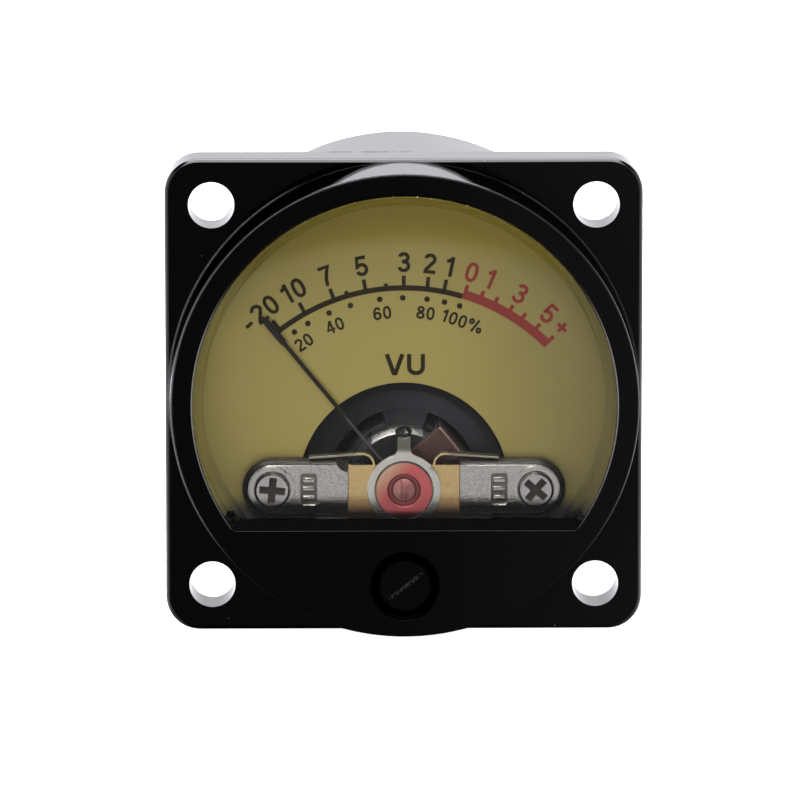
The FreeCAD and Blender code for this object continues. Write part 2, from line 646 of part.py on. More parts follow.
def core_spacers():
    """Two blocks that hold the core in the ring, in the sectors the coil never enters."""
    return [sector(YOKE_IN - METAL_FIT, CORE_R + METAL_FIT, SPACER_TURN_DEG + half_turn, SPACER_HALF_DEG,
                   YOKE_FRONT + LEDGE, YOKE_FRONT + LEDGE + SPACER_LENGTH)
            for half_turn in (0, 180)]


# ---- Turning system, built with the pointer straight up and then turned to rest ----
def coil_loop(reach, thick, end_front, end_back):
    half = COIL_WIDTH / 2
    low, high = PIVOT_Z - half, PIVOT_Z + half
    outer = block(-reach, reach, end_front, end_back, low, high)
    inner = block(thick - reach, reach - thick, end_front + thick, end_back - thick, low, high)
    return turn(outer.cut(inner), POINTER_REST_DEG)


def moving_coil():
    return coil_loop(COIL_OUT, WINDING_THICK, COIL_FRONT, COIL_BACK)


def coil_former():
    return coil_loop(WINDING_IN, FORMER_THICK, COIL_FRONT + WINDING_THICK, COIL_BACK - WINDING_THICK)


def pointer():
    half, tip_half = POINTER_WIDTH / 2, POINTER_TIP_WIDTH / 2
    tip = PIVOT_Z + POINTER_LENGTH
    shoulder = tip - POINTER_TIP_LENGTH
    outline = [(-half, PIVOT_Z), (-half, shoulder - POINTER_TIP_WIDTH), (-tip_half, shoulder),
               (-tip_half, tip - POINTER_TIP_WIDTH), (0, tip), (tip_half, tip - POINTER_TIP_WIDTH),
               (tip_half, shoulder), (half, shoulder - POINTER_TIP_WIDTH), (half, PIVOT_Z)]
    corners = [at(x, POINTER_FRONT, z) for x, z in outline + outline[:1]]
    blade = Part.Face(Part.makePolygon(corners)).extrude(at(0, POINTER_THICK, 0))
    eye = disc(POINTER_EYE_R, POINTER_FRONT, HUB_FRONT, 0, PIVOT_Z)
    bore = disc(STAFF_R + METAL_FIT, POINTER_FRONT, HUB_FRONT, 0, PIVOT_Z)
    return turn(cut(blade.fuse(eye), [bore]), POINTER_REST_DEG)


def weight_directions():
    return (90, 180, 270)


def arm_along(radius, start, reach):
    middle = (HUB_FRONT + COIL_FRONT) / 2
    return Part.makeCylinder(radius, reach - start, at(0, middle, PIVOT_Z + start), at(0, 0, 1))


def front_hub():
    """Boss on the coil's front with three arms that carry the balance weights."""
    boss = disc(HUB_R, HUB_FRONT, COIL_FRONT, 0, PIVOT_Z)
    arms = [turn(arm_along(WEIGHT_ARM_R, 0, WEIGHT_ARM), angle) for angle in weight_directions()]
    bore = disc(STAFF_R + METAL_FIT, HUB_FRONT, COIL_FRONT, 0, PIVOT_Z)
    return turn(cut(fuse([boss] + arms), [bore]), POINTER_REST_DEG)


def balance_weights():
    start = WEIGHT_ARM - WEIGHT_LENGTH
    sleeve = arm_along(WEIGHT_R, start, WEIGHT_ARM).cut(arm_along(WEIGHT_ARM_R + WEIGHT_FIT, 0, WEIGHT_ARM))
    return [turn(sleeve, angle + POINTER_REST_DEG) for angle in weight_directions()]


def rear_hub():
    boss = disc(HUB_R, COIL_BACK, REAR_HUB_BACK, 0, PIVOT_Z)
    return cut(boss, [disc(STAFF_R + METAL_FIT, COIL_BACK, REAR_HUB_BACK, 0, PIVOT_Z)])


def front_staff():
    collet = disc(COLLET_R, SPRING_FRONT, SPRING_BACK, 0, PIVOT_Z)
    rod = disc(STAFF_R, BRIDGE_BACK, COIL_FRONT, 0, PIVOT_Z)
    tip = cone(0, STAFF_R, BRIDGE_BACK - STAFF_TIP, BRIDGE_BACK, 0, PIVOT_Z)
    return fuse([collet, rod, tip])


def rear_staff():
    collet = disc(COLLET_R, REAR_SPRING_FRONT, REAR_SPRING_BACK, 0, PIVOT_Z)
    rod = disc(STAFF_R, COIL_BACK, REAR_BRIDGE_FRONT, 0, PIVOT_Z)
    tip = cone(STAFF_R, 0, REAR_BRIDGE_FRONT, REAR_BRIDGE_FRONT + STAFF_TIP, 0, PIVOT_Z)
    return fuse([collet, rod, tip])


# ---- Hairsprings ----
def half_ring(centre_z, radius, y_front, y_back, to_right):
    strip = ring(radius + SPRING_THICK / 2, radius - SPRING_THICK / 2, y_front, y_back, 0, centre_z)
    reach = radius + SPRING_THICK
    side = block(0, reach, y_front, y_back, centre_z - reach, centre_z + reach)
    if not to_right:
        side = block(-reach, 0, y_front, y_back, centre_z - reach, centre_z + reach)
    return strip.common(side)


def hairspring(y_front, y_back, reach):
    """Flat spiral of half rings whose outer end is bent straight up to its anchor."""
    growth = (SPRING_OUTER_R - SPRING_INNER_R) / (2 * SPRING_TURNS)
    turns = []
    for i in range(2 * SPRING_TURNS):
        radius = SPRING_INNER_R + i * growth
        to_right = i % 2 == 0
        centre_z = PIVOT_Z if to_right else PIVOT_Z + growth
        turns.append(half_ring(centre_z, radius, y_front, y_back, to_right))
    top = PIVOT_Z + SPRING_OUTER_R
    half = SPRING_THICK / 2
    end = block(-half, half, y_front, y_back, top - half, PIVOT_Z + reach)
    return fuse(turns + [end])


def front_hairspring():
    return hairspring(SPRING_FRONT, SPRING_BACK, SOLDER_REACH - SOLDER_R)


def rear_hairspring():
    return hairspring(REAR_SPRING_FRONT, REAR_SPRING_BACK, REAR_SPRING_REACH - STAFF_R * 2)


# ---- Front bridge, bush and jewel ----
def stop_arm(side):
    """Arm of the bridge that rises, curls outwards and runs level above the ear."""
    top = PIVOT_Z + BRIDGE_RISE
    back = DIAL_FRONT - STOP_DIAL_GAP
    centre_x, centre_z = STOP_OFFSET + STOP_CURL_R, top + STOP_RISE
    inner_r = STOP_CURL_R - STOP_SHEET
    root = block(STOP_OFFSET, STOP_OFFSET + STOP_SHEET, EAR_FRONT, BRIDGE_BACK, top, centre_z)
    curl = ring(STOP_CURL_R, inner_r, EAR_FRONT, back, centre_x, centre_z)
    curl = curl.common(block(STOP_OFFSET, centre_x, EAR_FRONT, back, centre_z, centre_z + STOP_CURL_R))
    run = block(centre_x, centre_x + STOP_REACH, EAR_FRONT, back, centre_z + inner_r,
                centre_z + STOP_CURL_R)
    run = turn(run, STOP_SLOPE_DEG, centre_x, centre_z)
    bend = block(centre_x, centre_x + STOP_CURL_R, EAR_FRONT, back, centre_z, centre_z + STOP_CURL_R)
    bend = bend.common(ring(STOP_CURL_R, inner_r, EAR_FRONT, back, centre_x, centre_z))
    wedge = turn(block(centre_x - STOP_CURL_R, centre_x, EAR_FRONT, back, centre_z,
                       centre_z + STOP_CURL_R), STOP_SLOPE_DEG, centre_x, centre_z)
    arm = fuse([root, curl, bend.common(wedge), run])
    return arm if side > 0 else arm.mirror(at(0, 0, 0), at(1, 0, 0))


def front_bridge():
    plate = block(-BRIDGE_HALF, BRIDGE_HALF, EAR_FRONT, BRIDGE_BACK, BRIDGE_FOOT_Z, PIVOT_Z + BRIDGE_RISE)
    body = fuse([plate] + [stop_arm(side) for side, _ in EARS])
    bush_hole = disc(BUSH_SHANK_R + METAL_FIT, EAR_FRONT, BRIDGE_BACK, 0, PIVOT_Z)
    screw_holes = [disc(SMALL_SCREW_R + MOULD_FIT, EAR_FRONT, BRIDGE_BACK, side * BRIDGE_SCREW_X,
                        BRIDGE_SCREW_Z) for side, _ in EARS]
    return cut(body, [bush_hole] + screw_holes)


def slot(x, z, half_length, width, y_front, y_back, degrees):
    bar = block(x - half_length, x + half_length, y_front, y_back, z - width / 2, z + width / 2)
    return turn(bar, degrees, x, z)


def slotted_screw(x, z, head_r, head_front, seat, shank_r, shank_back, slot_width):
    head = disc(head_r, head_front, seat, x, z).fuse(disc(shank_r, seat, shank_back, x, z))
    groove = slot(x, z, head_r, slot_width, head_front, head_front + (seat - head_front) / 2, 0)
    return cut(head, [groove])


def bridge_screws():
    return [slotted_screw(side * BRIDGE_SCREW_X, BRIDGE_SCREW_Z, SMALL_SCREW_HEAD_R,
                          EAR_FRONT - SMALL_SCREW_HEAD, EAR_FRONT, SMALL_SCREW_R,
                          DIAL_FRONT - METAL_FIT, SMALL_SCREW_SLOT) for side, _ in EARS]


def front_bush():
    head = disc(BUSH_R, BUSH_FRONT, EAR_FRONT, 0, PIVOT_Z)
    shank = disc(BUSH_SHANK_R, EAR_FRONT, BRIDGE_BACK, 0, PIVOT_Z)
    sink = disc(BUSH_SINK_R, BUSH_FRONT, BUSH_FRONT + BUSH_SINK, 0, PIVOT_Z)
    bore = disc(JEWEL_SHANK_R + METAL_FIT, BUSH_FRONT, BRIDGE_BACK, 0, PIVOT_Z)
    return cut(fuse([head, shank]), [sink, bore])


def front_jewel_screw():
    seat = BUSH_FRONT + BUSH_SINK
    front = seat - JEWEL_HEAD
    body = disc(JEWEL_HEAD_R, front, seat, 0, PIVOT_Z)
    body = body.fuse(disc(JEWEL_SHANK_R, seat, BRIDGE_BACK, 0, PIVOT_Z))
    groove = slot(0, PIVOT_Z, JEWEL_HEAD_R, JEWEL_SLOT, front, front + JEWEL_SLOT_DEPTH, 90)
    cup = disc(STAFF_R + JEWEL_CLEAR, BRIDGE_BACK - STAFF_TIP - JEWEL_CLEAR, BRIDGE_BACK, 0, PIVOT_Z)
    return cut(body, [groove, cup])


# ---- Rear bridge ----
def rear_bridge():
    """Bar across the rear lugs with an upright arm for the spring's anchor."""
    reach = REAR_LUG_R + REAR_SCREW_HEAD_R
    bar = block(-reach, reach, REAR_BRIDGE_FRONT, REAR_BRIDGE_BACK,
                PIVOT_Z - REAR_BRIDGE_HALF, PIVOT_Z + REAR_BRIDGE_HALF)
    arm = block(-HUB_R, HUB_R, REAR_BRIDGE_FRONT, REAR_BRIDGE_BACK, PIVOT_Z, PIVOT_Z + REAR_SPRING_REACH)
    arm_end = disc(HUB_R, REAR_BRIDGE_FRONT, REAR_BRIDGE_BACK, 0, PIVOT_Z + REAR_SPRING_REACH)
    jewel_hole = disc(JEWEL_SHANK_R + METAL_FIT, REAR_BRIDGE_FRONT, REAR_BRIDGE_BACK, 0, PIVOT_Z)
    screw_holes = [disc(SMALL_SCREW_R + MOULD_FIT, REAR_BRIDGE_FRONT, REAR_BRIDGE_BACK,
                        side * REAR_LUG_R, PIVOT_Z) for side, _ in EARS]
    return cut(fuse([bar, arm, arm_end]), [jewel_hole] + screw_holes)


def rear_bridge_screws():
    screws = []
    for side, _ in EARS:
        x = side * REAR_LUG_R
        head = disc(REAR_SCREW_HEAD_R, REAR_BRIDGE_BACK, REAR_BRIDGE_BACK + REAR_SCREW_HEAD, x, PIVOT_Z)
        shank = disc(SMALL_SCREW_R, YOKE_BACK + 2 * SHELL_WALL, REAR_BRIDGE_BACK, x, PIVOT_Z)
        screws.append(head.fuse(shank).removeSplitter())
    return screws


def rear_jewel_screw():
    shank = disc(JEWEL_SHANK_R, REAR_BRIDGE_FRONT, REAR_BRIDGE_BACK, 0, PIVOT_Z)
    head = disc(JEWEL_HEAD_R, REAR_BRIDGE_BACK, REAR_BRIDGE_BACK + REAR_SCREW_HEAD, 0, PIVOT_Z)
    cup = disc(STAFF_R + JEWEL_CLEAR, REAR_BRIDGE_FRONT, REAR_BRIDGE_FRONT + STAFF_TIP + JEWEL_CLEAR,
               0, PIVOT_Z)
    back = REAR_BRIDGE_BACK + REAR_SCREW_HEAD
    groove = slot(0, PIVOT_Z, JEWEL_HEAD_R, JEWEL_SLOT, back - JEWEL_SLOT_DEPTH, back, 0)
    return cut(fuse([shank, head]), [cup, groove])


def rear_spring_anchor():
    z = PIVOT_Z + REAR_SPRING_REACH
    return disc(2 * STAFF_R, REAR_SPRING_FRONT, REAR_BRIDGE_FRONT, 0, z)


# ---- Zero lever and zero screw ----
def zero_lever():
    """Ring round the bush, an arm up to the spring and a fork down round the screw's pin."""
    ring_in = BUSH_R + LEVER_RUN_FIT
    ring_out = ring_in + LEVER_RING
    band = ring(ring_out, ring_in, LEVER_FRONT, LEVER_BACK, 0, PIVOT_Z)
    middle = ring_in + LEVER_RING / 2
    half = LEVER_ARM_WIDTH / 2
    arm = block(-half, half, LEVER_FRONT, LEVER_BACK, PIVOT_Z + middle, PIVOT_Z + LEVER_ARM_REACH)
    slot_half = ZERO_PIN_R + FORK_CLEAR
    slot_top = PIVOT_Z - LEVER_TO_SCREW + ZERO_PIN_THROW + ZERO_PIN_R + FORK_CLEAR
    fork_end = PIVOT_Z - LEVER_TO_SCREW - FORK_TIP
    fork_half = slot_half + FORK_PRONG
    arm = round_edges(band.fuse(arm).removeSplitter(), LEVER_ROOT_R,
                      lambda edge: on_lever_root(edge, half, ring_out))
    stem = block(-half, half, LEVER_FRONT, LEVER_BACK, slot_top, PIVOT_Z - middle)
    fork = block(-fork_half, fork_half, LEVER_FRONT, LEVER_BACK, fork_end, slot_top + FORK_PRONG)
    gap = block(-slot_half, slot_half, LEVER_FRONT, LEVER_BACK, fork_end, slot_top)
    joint = disc(SOLDER_R + WEIGHT_FIT, LEVER_FRONT, LEVER_BACK, 0, PIVOT_Z + SOLDER_REACH)
    clearing = disc(ring_in, LEVER_FRONT, LEVER_BACK, 0, PIVOT_Z)
    return cut(fuse([arm, stem, fork]), [gap, joint, clearing])


def on_lever_root(edge, half_width, ring_out):
    box = edge.BoundBox
    beside_arm = abs(abs(box.XMin) - half_width) < 1e-4
    return beside_arm and box.ZMin < PIVOT_Z + ring_out and runs_along(edge, LEVER_THICK)


def spring_solder():
    bead = disc(SOLDER_R, LEVER_FRONT, SPRING_BACK, 0, PIVOT_Z + SOLDER_REACH)
    return chamfer_edges(bead, SOLDER_R / 2, lambda edge: lies_at(edge, LEVER_FRONT))


def zero_adjust_screw():
    front = BEZEL_FRONT + ZERO_SINK - MOULD_FIT - ZERO_HEAD
    back = front + ZERO_HEAD
    head = disc(ZERO_HEAD_R, front, back, 0, ZERO_Z)
    head = chamfer_edges(head, APERTURE_EDGE, lambda edge: lies_at(edge, front))
    shaft = disc(ZERO_SHAFT_R, back, ZERO_SHAFT_END, 0, ZERO_Z)
    pin = disc(ZERO_PIN_R, ZERO_SHAFT_END, LEVER_BACK + METAL_FIT, 0, ZERO_Z + ZERO_PIN_THROW)
    groove = slot(0, ZERO_Z, ZERO_HEAD_R, ZERO_SLOT, front, front + ZERO_SLOT_DEPTH, -ZERO_SLOT_DEG)
    return cut(fuse([head, shaft, pin]), [groove])


def zero_clip():
    front = FRONT_WALL_BACK + ZERO_CLIP_GAP
    return ring(ZERO_CLIP_R, ZERO_SHAFT_R + METAL_FIT, front, front + ZERO_CLIP_THICK, 0, ZERO_Z)


PIECES = [front_case, window, dial_plate, diffuser, rear_housing, rear_cover, cover_screws,
          meter_terminals, lamp_terminals, lamp_board, lamps, movement_frame, frame_screws,
          yoke_ring, core_magnet, core_spacers, front_bridge, bridge_screws, front_bush,
          front_jewel_screw, rear_bridge, rear_bridge_screws, rear_jewel_screw, rear_spring_anchor,
          rear_hairspring, pointer, front_hub, balance_weights, moving_coil, coil_former, rear_hub,
          front_staff, rear_staff, zero_lever, spring_solder, front_hairspring, zero_adjust_screw,
          zero_clip]


def main():
    os.makedirs("parts", exist_ok=True)
    for make in PIECES:
        made = make()
        solids = made if isinstance(made, list) else [made]
        shape = Part.makeCompound(solids) if len(solids) > 1 else solids[0]
        shape.exportStep("parts/" + make.__name__ + ".step")


main()
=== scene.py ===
"""Dress a packed round-bezel panel meter: finishes, printed dial, movement details and studio."""

import json
import math

import bmesh
import bpy
from bpy.props import FloatProperty, FloatVectorProperty, PointerProperty
from mathutils import Matrix, Vector, noise


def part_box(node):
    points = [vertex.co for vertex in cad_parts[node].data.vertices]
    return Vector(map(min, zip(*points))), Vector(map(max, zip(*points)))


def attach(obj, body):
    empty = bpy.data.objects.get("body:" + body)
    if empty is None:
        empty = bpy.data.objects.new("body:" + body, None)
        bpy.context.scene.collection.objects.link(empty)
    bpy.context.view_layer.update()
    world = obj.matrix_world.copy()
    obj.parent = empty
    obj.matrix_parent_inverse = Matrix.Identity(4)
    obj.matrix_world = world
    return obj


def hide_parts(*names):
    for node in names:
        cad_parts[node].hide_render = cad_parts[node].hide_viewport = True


bl_info = {
    "name": "Panel level meter",
    "version": (1, 0, 0),
    "blender": (4, 5, 0),
    "location": "3D View > Sidebar > Meter",
    "description": "Finishes, printed dial, movement details and studio for a panel level meter",
    "category": "Object",
}

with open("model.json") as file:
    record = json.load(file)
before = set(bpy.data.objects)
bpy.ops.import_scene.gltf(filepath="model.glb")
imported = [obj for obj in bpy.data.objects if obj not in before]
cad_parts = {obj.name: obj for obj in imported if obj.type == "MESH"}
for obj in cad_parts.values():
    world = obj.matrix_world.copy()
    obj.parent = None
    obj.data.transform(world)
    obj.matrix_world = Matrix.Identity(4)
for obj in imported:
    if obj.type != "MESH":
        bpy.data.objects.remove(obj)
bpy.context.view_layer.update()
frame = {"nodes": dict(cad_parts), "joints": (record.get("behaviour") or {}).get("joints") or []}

MM = 0.001
NODES = frame["nodes"]
PIVOT = Vector(next(j["pos_m"] for j in frame["joints"] if j["name"] == "pointer_swing"))
BEZEL_Y, FLOOR_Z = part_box("front_case")[0].yz
FLANGE_Y = BEZEL_Y + 5.2 * MM         # front of the flange; the bezel stands this far ahead of it
DIAL_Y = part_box("dial_plate")[0].y
EAR_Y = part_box("front_bridge")[0].y   # face of the ears and the bridge
CROSS_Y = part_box("frame_screws")[0].y
CORE_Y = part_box("core_magnet")[0].y
ZERO_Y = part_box("zero_adjust_screw")[0].y
ZERO_Z = sum(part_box("zero_adjust_screw"), Vector()).z / 2


# ---- Properties ----
def length(name, description, default_mm):
    return FloatProperty(name=name, description=description, default=default_mm * MM, unit="LENGTH",
                         precision=5)


def angle(name, description, default_deg):
    return FloatProperty(name=name, description=description, default=math.radians(default_deg),
                         unit="ROTATION")


def colour(name, description, default):
    return FloatVectorProperty(name=name, description=description, default=default, subtype="COLOR",
                               size=3, min=0.0, max=1.0)


def factor(name, description, default, top=1.0):
    return FloatProperty(name=name, description=description, default=default, subtype="FACTOR",
                         min=0.0, max=top)


def amount(name, description, default):
    return FloatProperty(name=name, description=description, default=default, min=0.0)


class CaseSettings(bpy.types.PropertyGroup):
    """Moulded case, cover and window."""
    black: colour("Case black", "Colour of the moulded case", (0.0006, 0.0006, 0.0007))
    gloss: factor("Case roughness", "Roughness of the polished moulding", 0.06)
    shine: factor("Case shine", "Specular level of the polished moulding", 0.065)
    cover_black: colour("Cover black", "Colour of the rear cover", (0.012, 0.012, 0.0125))
    cover_gloss: factor("Cover roughness", "Roughness of the rear cover", 0.42)
    edge: length("Edge rounding", "Rounding of the case's true edges", 0.06)
    dust: colour("Dust", "Colour of the dust and scuffs", (0.12, 0.12, 0.115))
    clear: colour("Window tint", "Colour of the clear window", (0.985, 0.99, 0.985))
    clear_rough: factor("Window roughness", "Roughness of the clear window", 0.02)
    glare: factor("Window glare", "Share of the reflections that the window keeps", 0.25)


class DialSettings(bpy.types.PropertyGroup):
    """Dial plate and its print."""
    paint: colour("Dial paint", "Colour of the dial's face", (0.36, 0.287, 0.057))
    # painted shade: the dial's face under the bezel's top, where the bezel shades it
    shaded: colour("Upper paint", "Colour of the dial's face under the bezel's top", (0.25, 0.185, 0.0))
    ink: colour("Ink", "Colour of the dark print", (0.018, 0.012, 0.001))
    red: colour("Red ink", "Colour of the print past zero", (0.24, 0.035, 0.024))
    ink_thick: length("Ink thickness", "Height of the print above the dial", 0.012)
    arc_radius: length("Scale radius", "Middle of the dark arc from the pivot", 14.77)
    arc_width: length("Arc width", "Width of the dark arc", 0.40)
    red_radius: length("Red radius", "Middle of the red arc from the pivot", 14.94)
    red_width: length("Red width", "Width of the red arc", 0.68)
    tick_width: length("Tick width", "Width of a scale mark", 0.29)
    tick_top: length("Mark reach", "Outer end of the long marks from the pivot", 15.68)
    minor_top: length("Short mark reach", "Outer end of the short marks from the pivot", 15.16)
    dot_radius: length("Dot radius", "Radius of a percent dot", 0.21)
    dot_track: length("Dot track", "Distance of the percent dots from the pivot", 14.03)
    numeral_track: length("Numeral track", "Distance of the upper numerals from the pivot", 16.68)
    numeral_height: length("Numeral height", "Height of the upper numerals", 1.5)
    percent_track: length("Percent track", "Distance of the lower numerals from the pivot", 13.0)
    percent_height: length("Percent height", "Height of the lower numerals", 0.97)
    unit_height: length("Unit height", "Height of the letters in the middle", 1.58)


class MovementSettings(bpy.types.PropertyGroup):
    """Metals of the movement."""
    cast: colour("Die cast", "Colour of the die-cast ears", (0.84, 0.72, 0.62))
    brass: colour("Brass", "Colour of the front bridge", (1.0, 0.61, 0.28))
    nickel: colour("Nickel", "Colour of plated screws and core", (0.7, 0.67, 0.64))
    lacquer: colour("Red lacquer", "Colour of the bush and its screw", (0.56, 0.11, 0.11))
    lever: colour("Lever", "Colour of the zero lever", (1.0, 0.93, 0.74))
    pointer: colour("Pointer", "Colour of the pointer's paint", (0.014, 0.009, 0.003))
    winding: colour("Winding", "Colour of the lacquered wire", (0.095, 0.032, 0.017))
    iron: colour("Iron", "Colour of the blackened iron", (0.016, 0.0155, 0.018))
    bronze: colour("Bronze", "Colour of the hairsprings", (0.5, 0.33, 0.16))
    edge: length("Metal rounding", "Rounding of the metal edges", 0.05)


class StudioSettings(bpy.types.PropertyGroup):
    """Camera, floor and light."""
    distance: length("Camera distance", "Camera to the middle of the flange", 600)
    focal_mm: amount("Focal length", "Focal length in millimetres", 367.74)
    azimuth: angle("Azimuth", "Camera's turn round the meter", -0.86)
    elevation: angle("Elevation", "Camera's height angle", 9.5)
    aim_x: length("Aim sideways", "Aim point beside the middle of the flange", -0.283)
    aim_z: length("Aim height", "Aim point above the middle of the flange", -0.367)
    key_power: amount("Key light", "Power of the front light in watts", 0.25)
    key_azimuth: angle("Key azimuth", "Turn of the front light round the meter", 0)
    key_elevation: angle("Key elevation", "Height angle of the front light", 28)
    key_size: length("Key size", "Side of the front light", 110)
    glint_power: amount("Glint light", "Power of the front light that metals alone show, in watts", 2.0)
    glint_azimuth: angle("Glint azimuth", "Turn of the glint light round the meter", -12)
    glint_elevation: angle("Glint elevation", "Height angle of the glint light", 40)
    sky: amount("Sky", "Brightness of the light from above", 0.35)
    rear: amount("Rear wall", "Brightness of the light from behind", 1.69)
    left: amount("Left wall", "Brightness of the light from the left", 1.4)
    right: amount("Right wall", "Brightness of the light from the right", 0.5)
    front: amount("Front wall", "Brightness of the light from the front", 0.06)
    table: amount("Table", "Brightness of the table in front", 0.5)
    fill: amount("Fill", "Even light from the front on matt surfaces", 1.98)
    overhead: amount("Overhead softbox", "Brightness of the box above, for reflections alone", 55.0)
    panels: amount("Side panels", "Brightness of the panels in front, for reflections alone", 8.0)
    strips: amount("Side strips", "Brightness of the strips beside it, for reflections alone", 30.0)
    wall_tint: colour("Wall tint", "Colour of the walls", (0.965, 0.955, 1.0))
    floor: factor("Floor", "Reflectance of the pale floor", 0.45)
    floor_glow: factor("Floor lift", "Light that the floor adds by itself", 1.0)


GROUPS = {"meter_case": CaseSettings, "meter_dial": DialSettings,
          "meter_movement": MovementSettings, "meter_studio": StudioSettings}


# ---- Shader groups that several finishes share ----
MIX_SOCKETS = {"FLOAT": (2, 3, 0), "VECTOR": (4, 5, 1), "RGBA": (6, 7, 2)}   # plain, other, result
FINE_DETAIL, PATCH_DETAIL = 3.0, 4.0
PATCH_EDGE = (0.35, 0.65)      # values of the noise at a worn patch's edge
BARE_SHARE = 0.55              # of the cells hold no speck of dust
GRAIN_RANGE = (0.25, 0.75)     # values of the grain that span the gloss
GLOSS_SPREAD = 0.15
WIRE_EDGE = (-0.2, 0.9)        # sine at a wire's edge and near its middle


def node(tree, kind, **settings):
    made = tree.nodes.new(kind)
    for name, value in settings.items():
        setattr(made, name, value)
    return made


def feed(tree, socket, value):
    """Link a socket to another, or give it a plain value; a colour is given without its alpha."""
    if hasattr(value, "links"):
        tree.links.new(value, socket)
    elif socket.type == "RGBA":
        socket.default_value = (*value, 1.0)
    else:
        socket.default_value = value


def feed_all(tree, made, values):
    for label, value in values.items():
        feed(tree, made.inputs[label], value)


def fed(tree, kind, *values, **settings):
    """A node of a kind, with its inputs given in order."""
    made = node(tree, kind, **settings)
    for socket, value in zip(made.inputs, values):
        feed(tree, socket, value)
    return made


def math_node(tree, operation, *values):
    return fed(tree, "ShaderNodeMath", *values, operation=operation).outputs[0]


def fold(tree, operation, *values):
    """Several values joined by one operation."""
    total = values[0]
    for value in values[1:]:
        total = math_node(tree, operation, total, value)
    return total


def vector_node(tree, operation, *values):
    """A vector operation, with the vector or the value that it gives."""
    made = fed(tree, "ShaderNodeVectorMath", *values, operation=operation)
    return made.outputs["Vector" if operation == "MULTIPLY_ADD" else "Value"]


def ramp(tree, value, low, high, to_low=0.0, to_high=1.0):
    """A value carried from one range to another, held at both ends."""
    made = node(tree, "ShaderNodeMapRange", interpolation_type="SMOOTHSTEP")
    feed_all(tree, made, {"Value": value, "From Min": low, "From Max": high,
                          "To Min": to_low, "To Max": to_high})
    return made.outputs["Result"]


def mixed(tree, kind, mask, plain, other):
    """Two colours, values or vectors mixed by a mask."""
    mix = node(tree, "ShaderNodeMix", data_type=kind)
    first, second, result = MIX_SOCKETS[kind]
    for index, value in ((0, mask), (first, plain), (second, other)):
        feed(tree, mix.inputs[index], value)
    return mix.outputs[result]


def new_group(name, inputs, outputs):
    """An empty shader group with float sockets; gives the tree, its inputs and its output node."""
    group = bpy.data.node_groups.new(name, "ShaderNodeTree")
    for label, default in inputs:
        socket = group.interface.new_socket(label, in_out="INPUT", socket_type="NodeSocketFloat")
        socket.default_value = default
    for label in outputs:
        group.interface.new_socket(label, in_out="OUTPUT", socket_type="NodeSocketFloat")
    return group, node(group, "NodeGroupInput").outputs, node(group, "NodeGroupOutput").inputs


def object_place(tree):
    return node(tree, "ShaderNodeTexCoord").outputs["Object"]


def object_noise(tree, size, detail):
    """Noise whose features measure about size, in the piece's own place."""
    speckle = node(tree, "ShaderNodeTexNoise")
    feed_all(tree, speckle, {"Vector": object_place(tree), "Detail": detail,
                             "Scale": math_node(tree, "DIVIDE", 1.0, size)})
    return speckle.outputs["Fac"]


def grain_group():
    """Fine grain, for colour, gloss and relief."""
    tree, given, result = new_group("surface_grain", [("Size", 0.1 * MM)], ["Value"])
    tree.links.new(object_noise(tree, given["Size"], FINE_DETAIL), result["Value"])
    return tree


def wear_group():
    """Rubbed edges: convex edges, broken up by noise."""
    tree, given, result = new_group("edge_wear", [("Reach", 0.05), ("Patch", 1.5 * MM)], ["Mask"])
    pointed = node(tree, "ShaderNodeNewGeometry").outputs["Pointiness"]
    raised = math_node(tree, "SUBTRACT", pointed, 0.5)
    edge = math_node(tree, "DIVIDE", raised, given["Reach"])
    broken = ramp(tree, object_noise(tree, given["Patch"], PATCH_DETAIL), *PATCH_EDGE)
    mask = math_node(tree, "MULTIPLY", edge, broken)
    tree.links.new(fed(tree, "ShaderNodeClamp", mask).outputs[0], result["Mask"])
    return tree


def dust_group():
    """Sparse specks, one at the heart of some cells of a pattern."""
    tree, given, result = new_group("settled_dust", [("Spacing", 1.6 * MM), ("Speck", 0.03)], ["Mask"])
    cells = node(tree, "ShaderNodeTexVoronoi")
    feed_all(tree, cells, {"Vector": object_place(tree),
                           "Scale": math_node(tree, "DIVIDE", 1.0, given["Spacing"])})
    near = math_node(tree, "LESS_THAN", cells.outputs["Distance"], given["Speck"])
    draw = fed(tree, "ShaderNodeSeparateColor", cells.outputs["Color"]).outputs[0]
    chosen = math_node(tree, "GREATER_THAN", draw, BARE_SHARE)
    tree.links.new(math_node(tree, "MULTIPLY", near, chosen), result["Mask"])
    return tree


def shared(name):
    """The shader group of that name, built at its first use."""
    makers = {"surface_grain": grain_group, "edge_wear": wear_group, "settled_dust": dust_group}
    return bpy.data.node_groups.get(name) or makers[name]()


def place_group(tree, name, **values):
    made = node(tree, "ShaderNodeGroup", node_tree=shared(name))
    feed_all(tree, made, values)
    return made.outputs[0]


# ---- Finishes ----
def blank_material(name):
    material = bpy.data.materials.new(name)
    material.use_nodes = True
    tree = material.node_tree
    return material, tree, tree.nodes["Principled BSDF"]


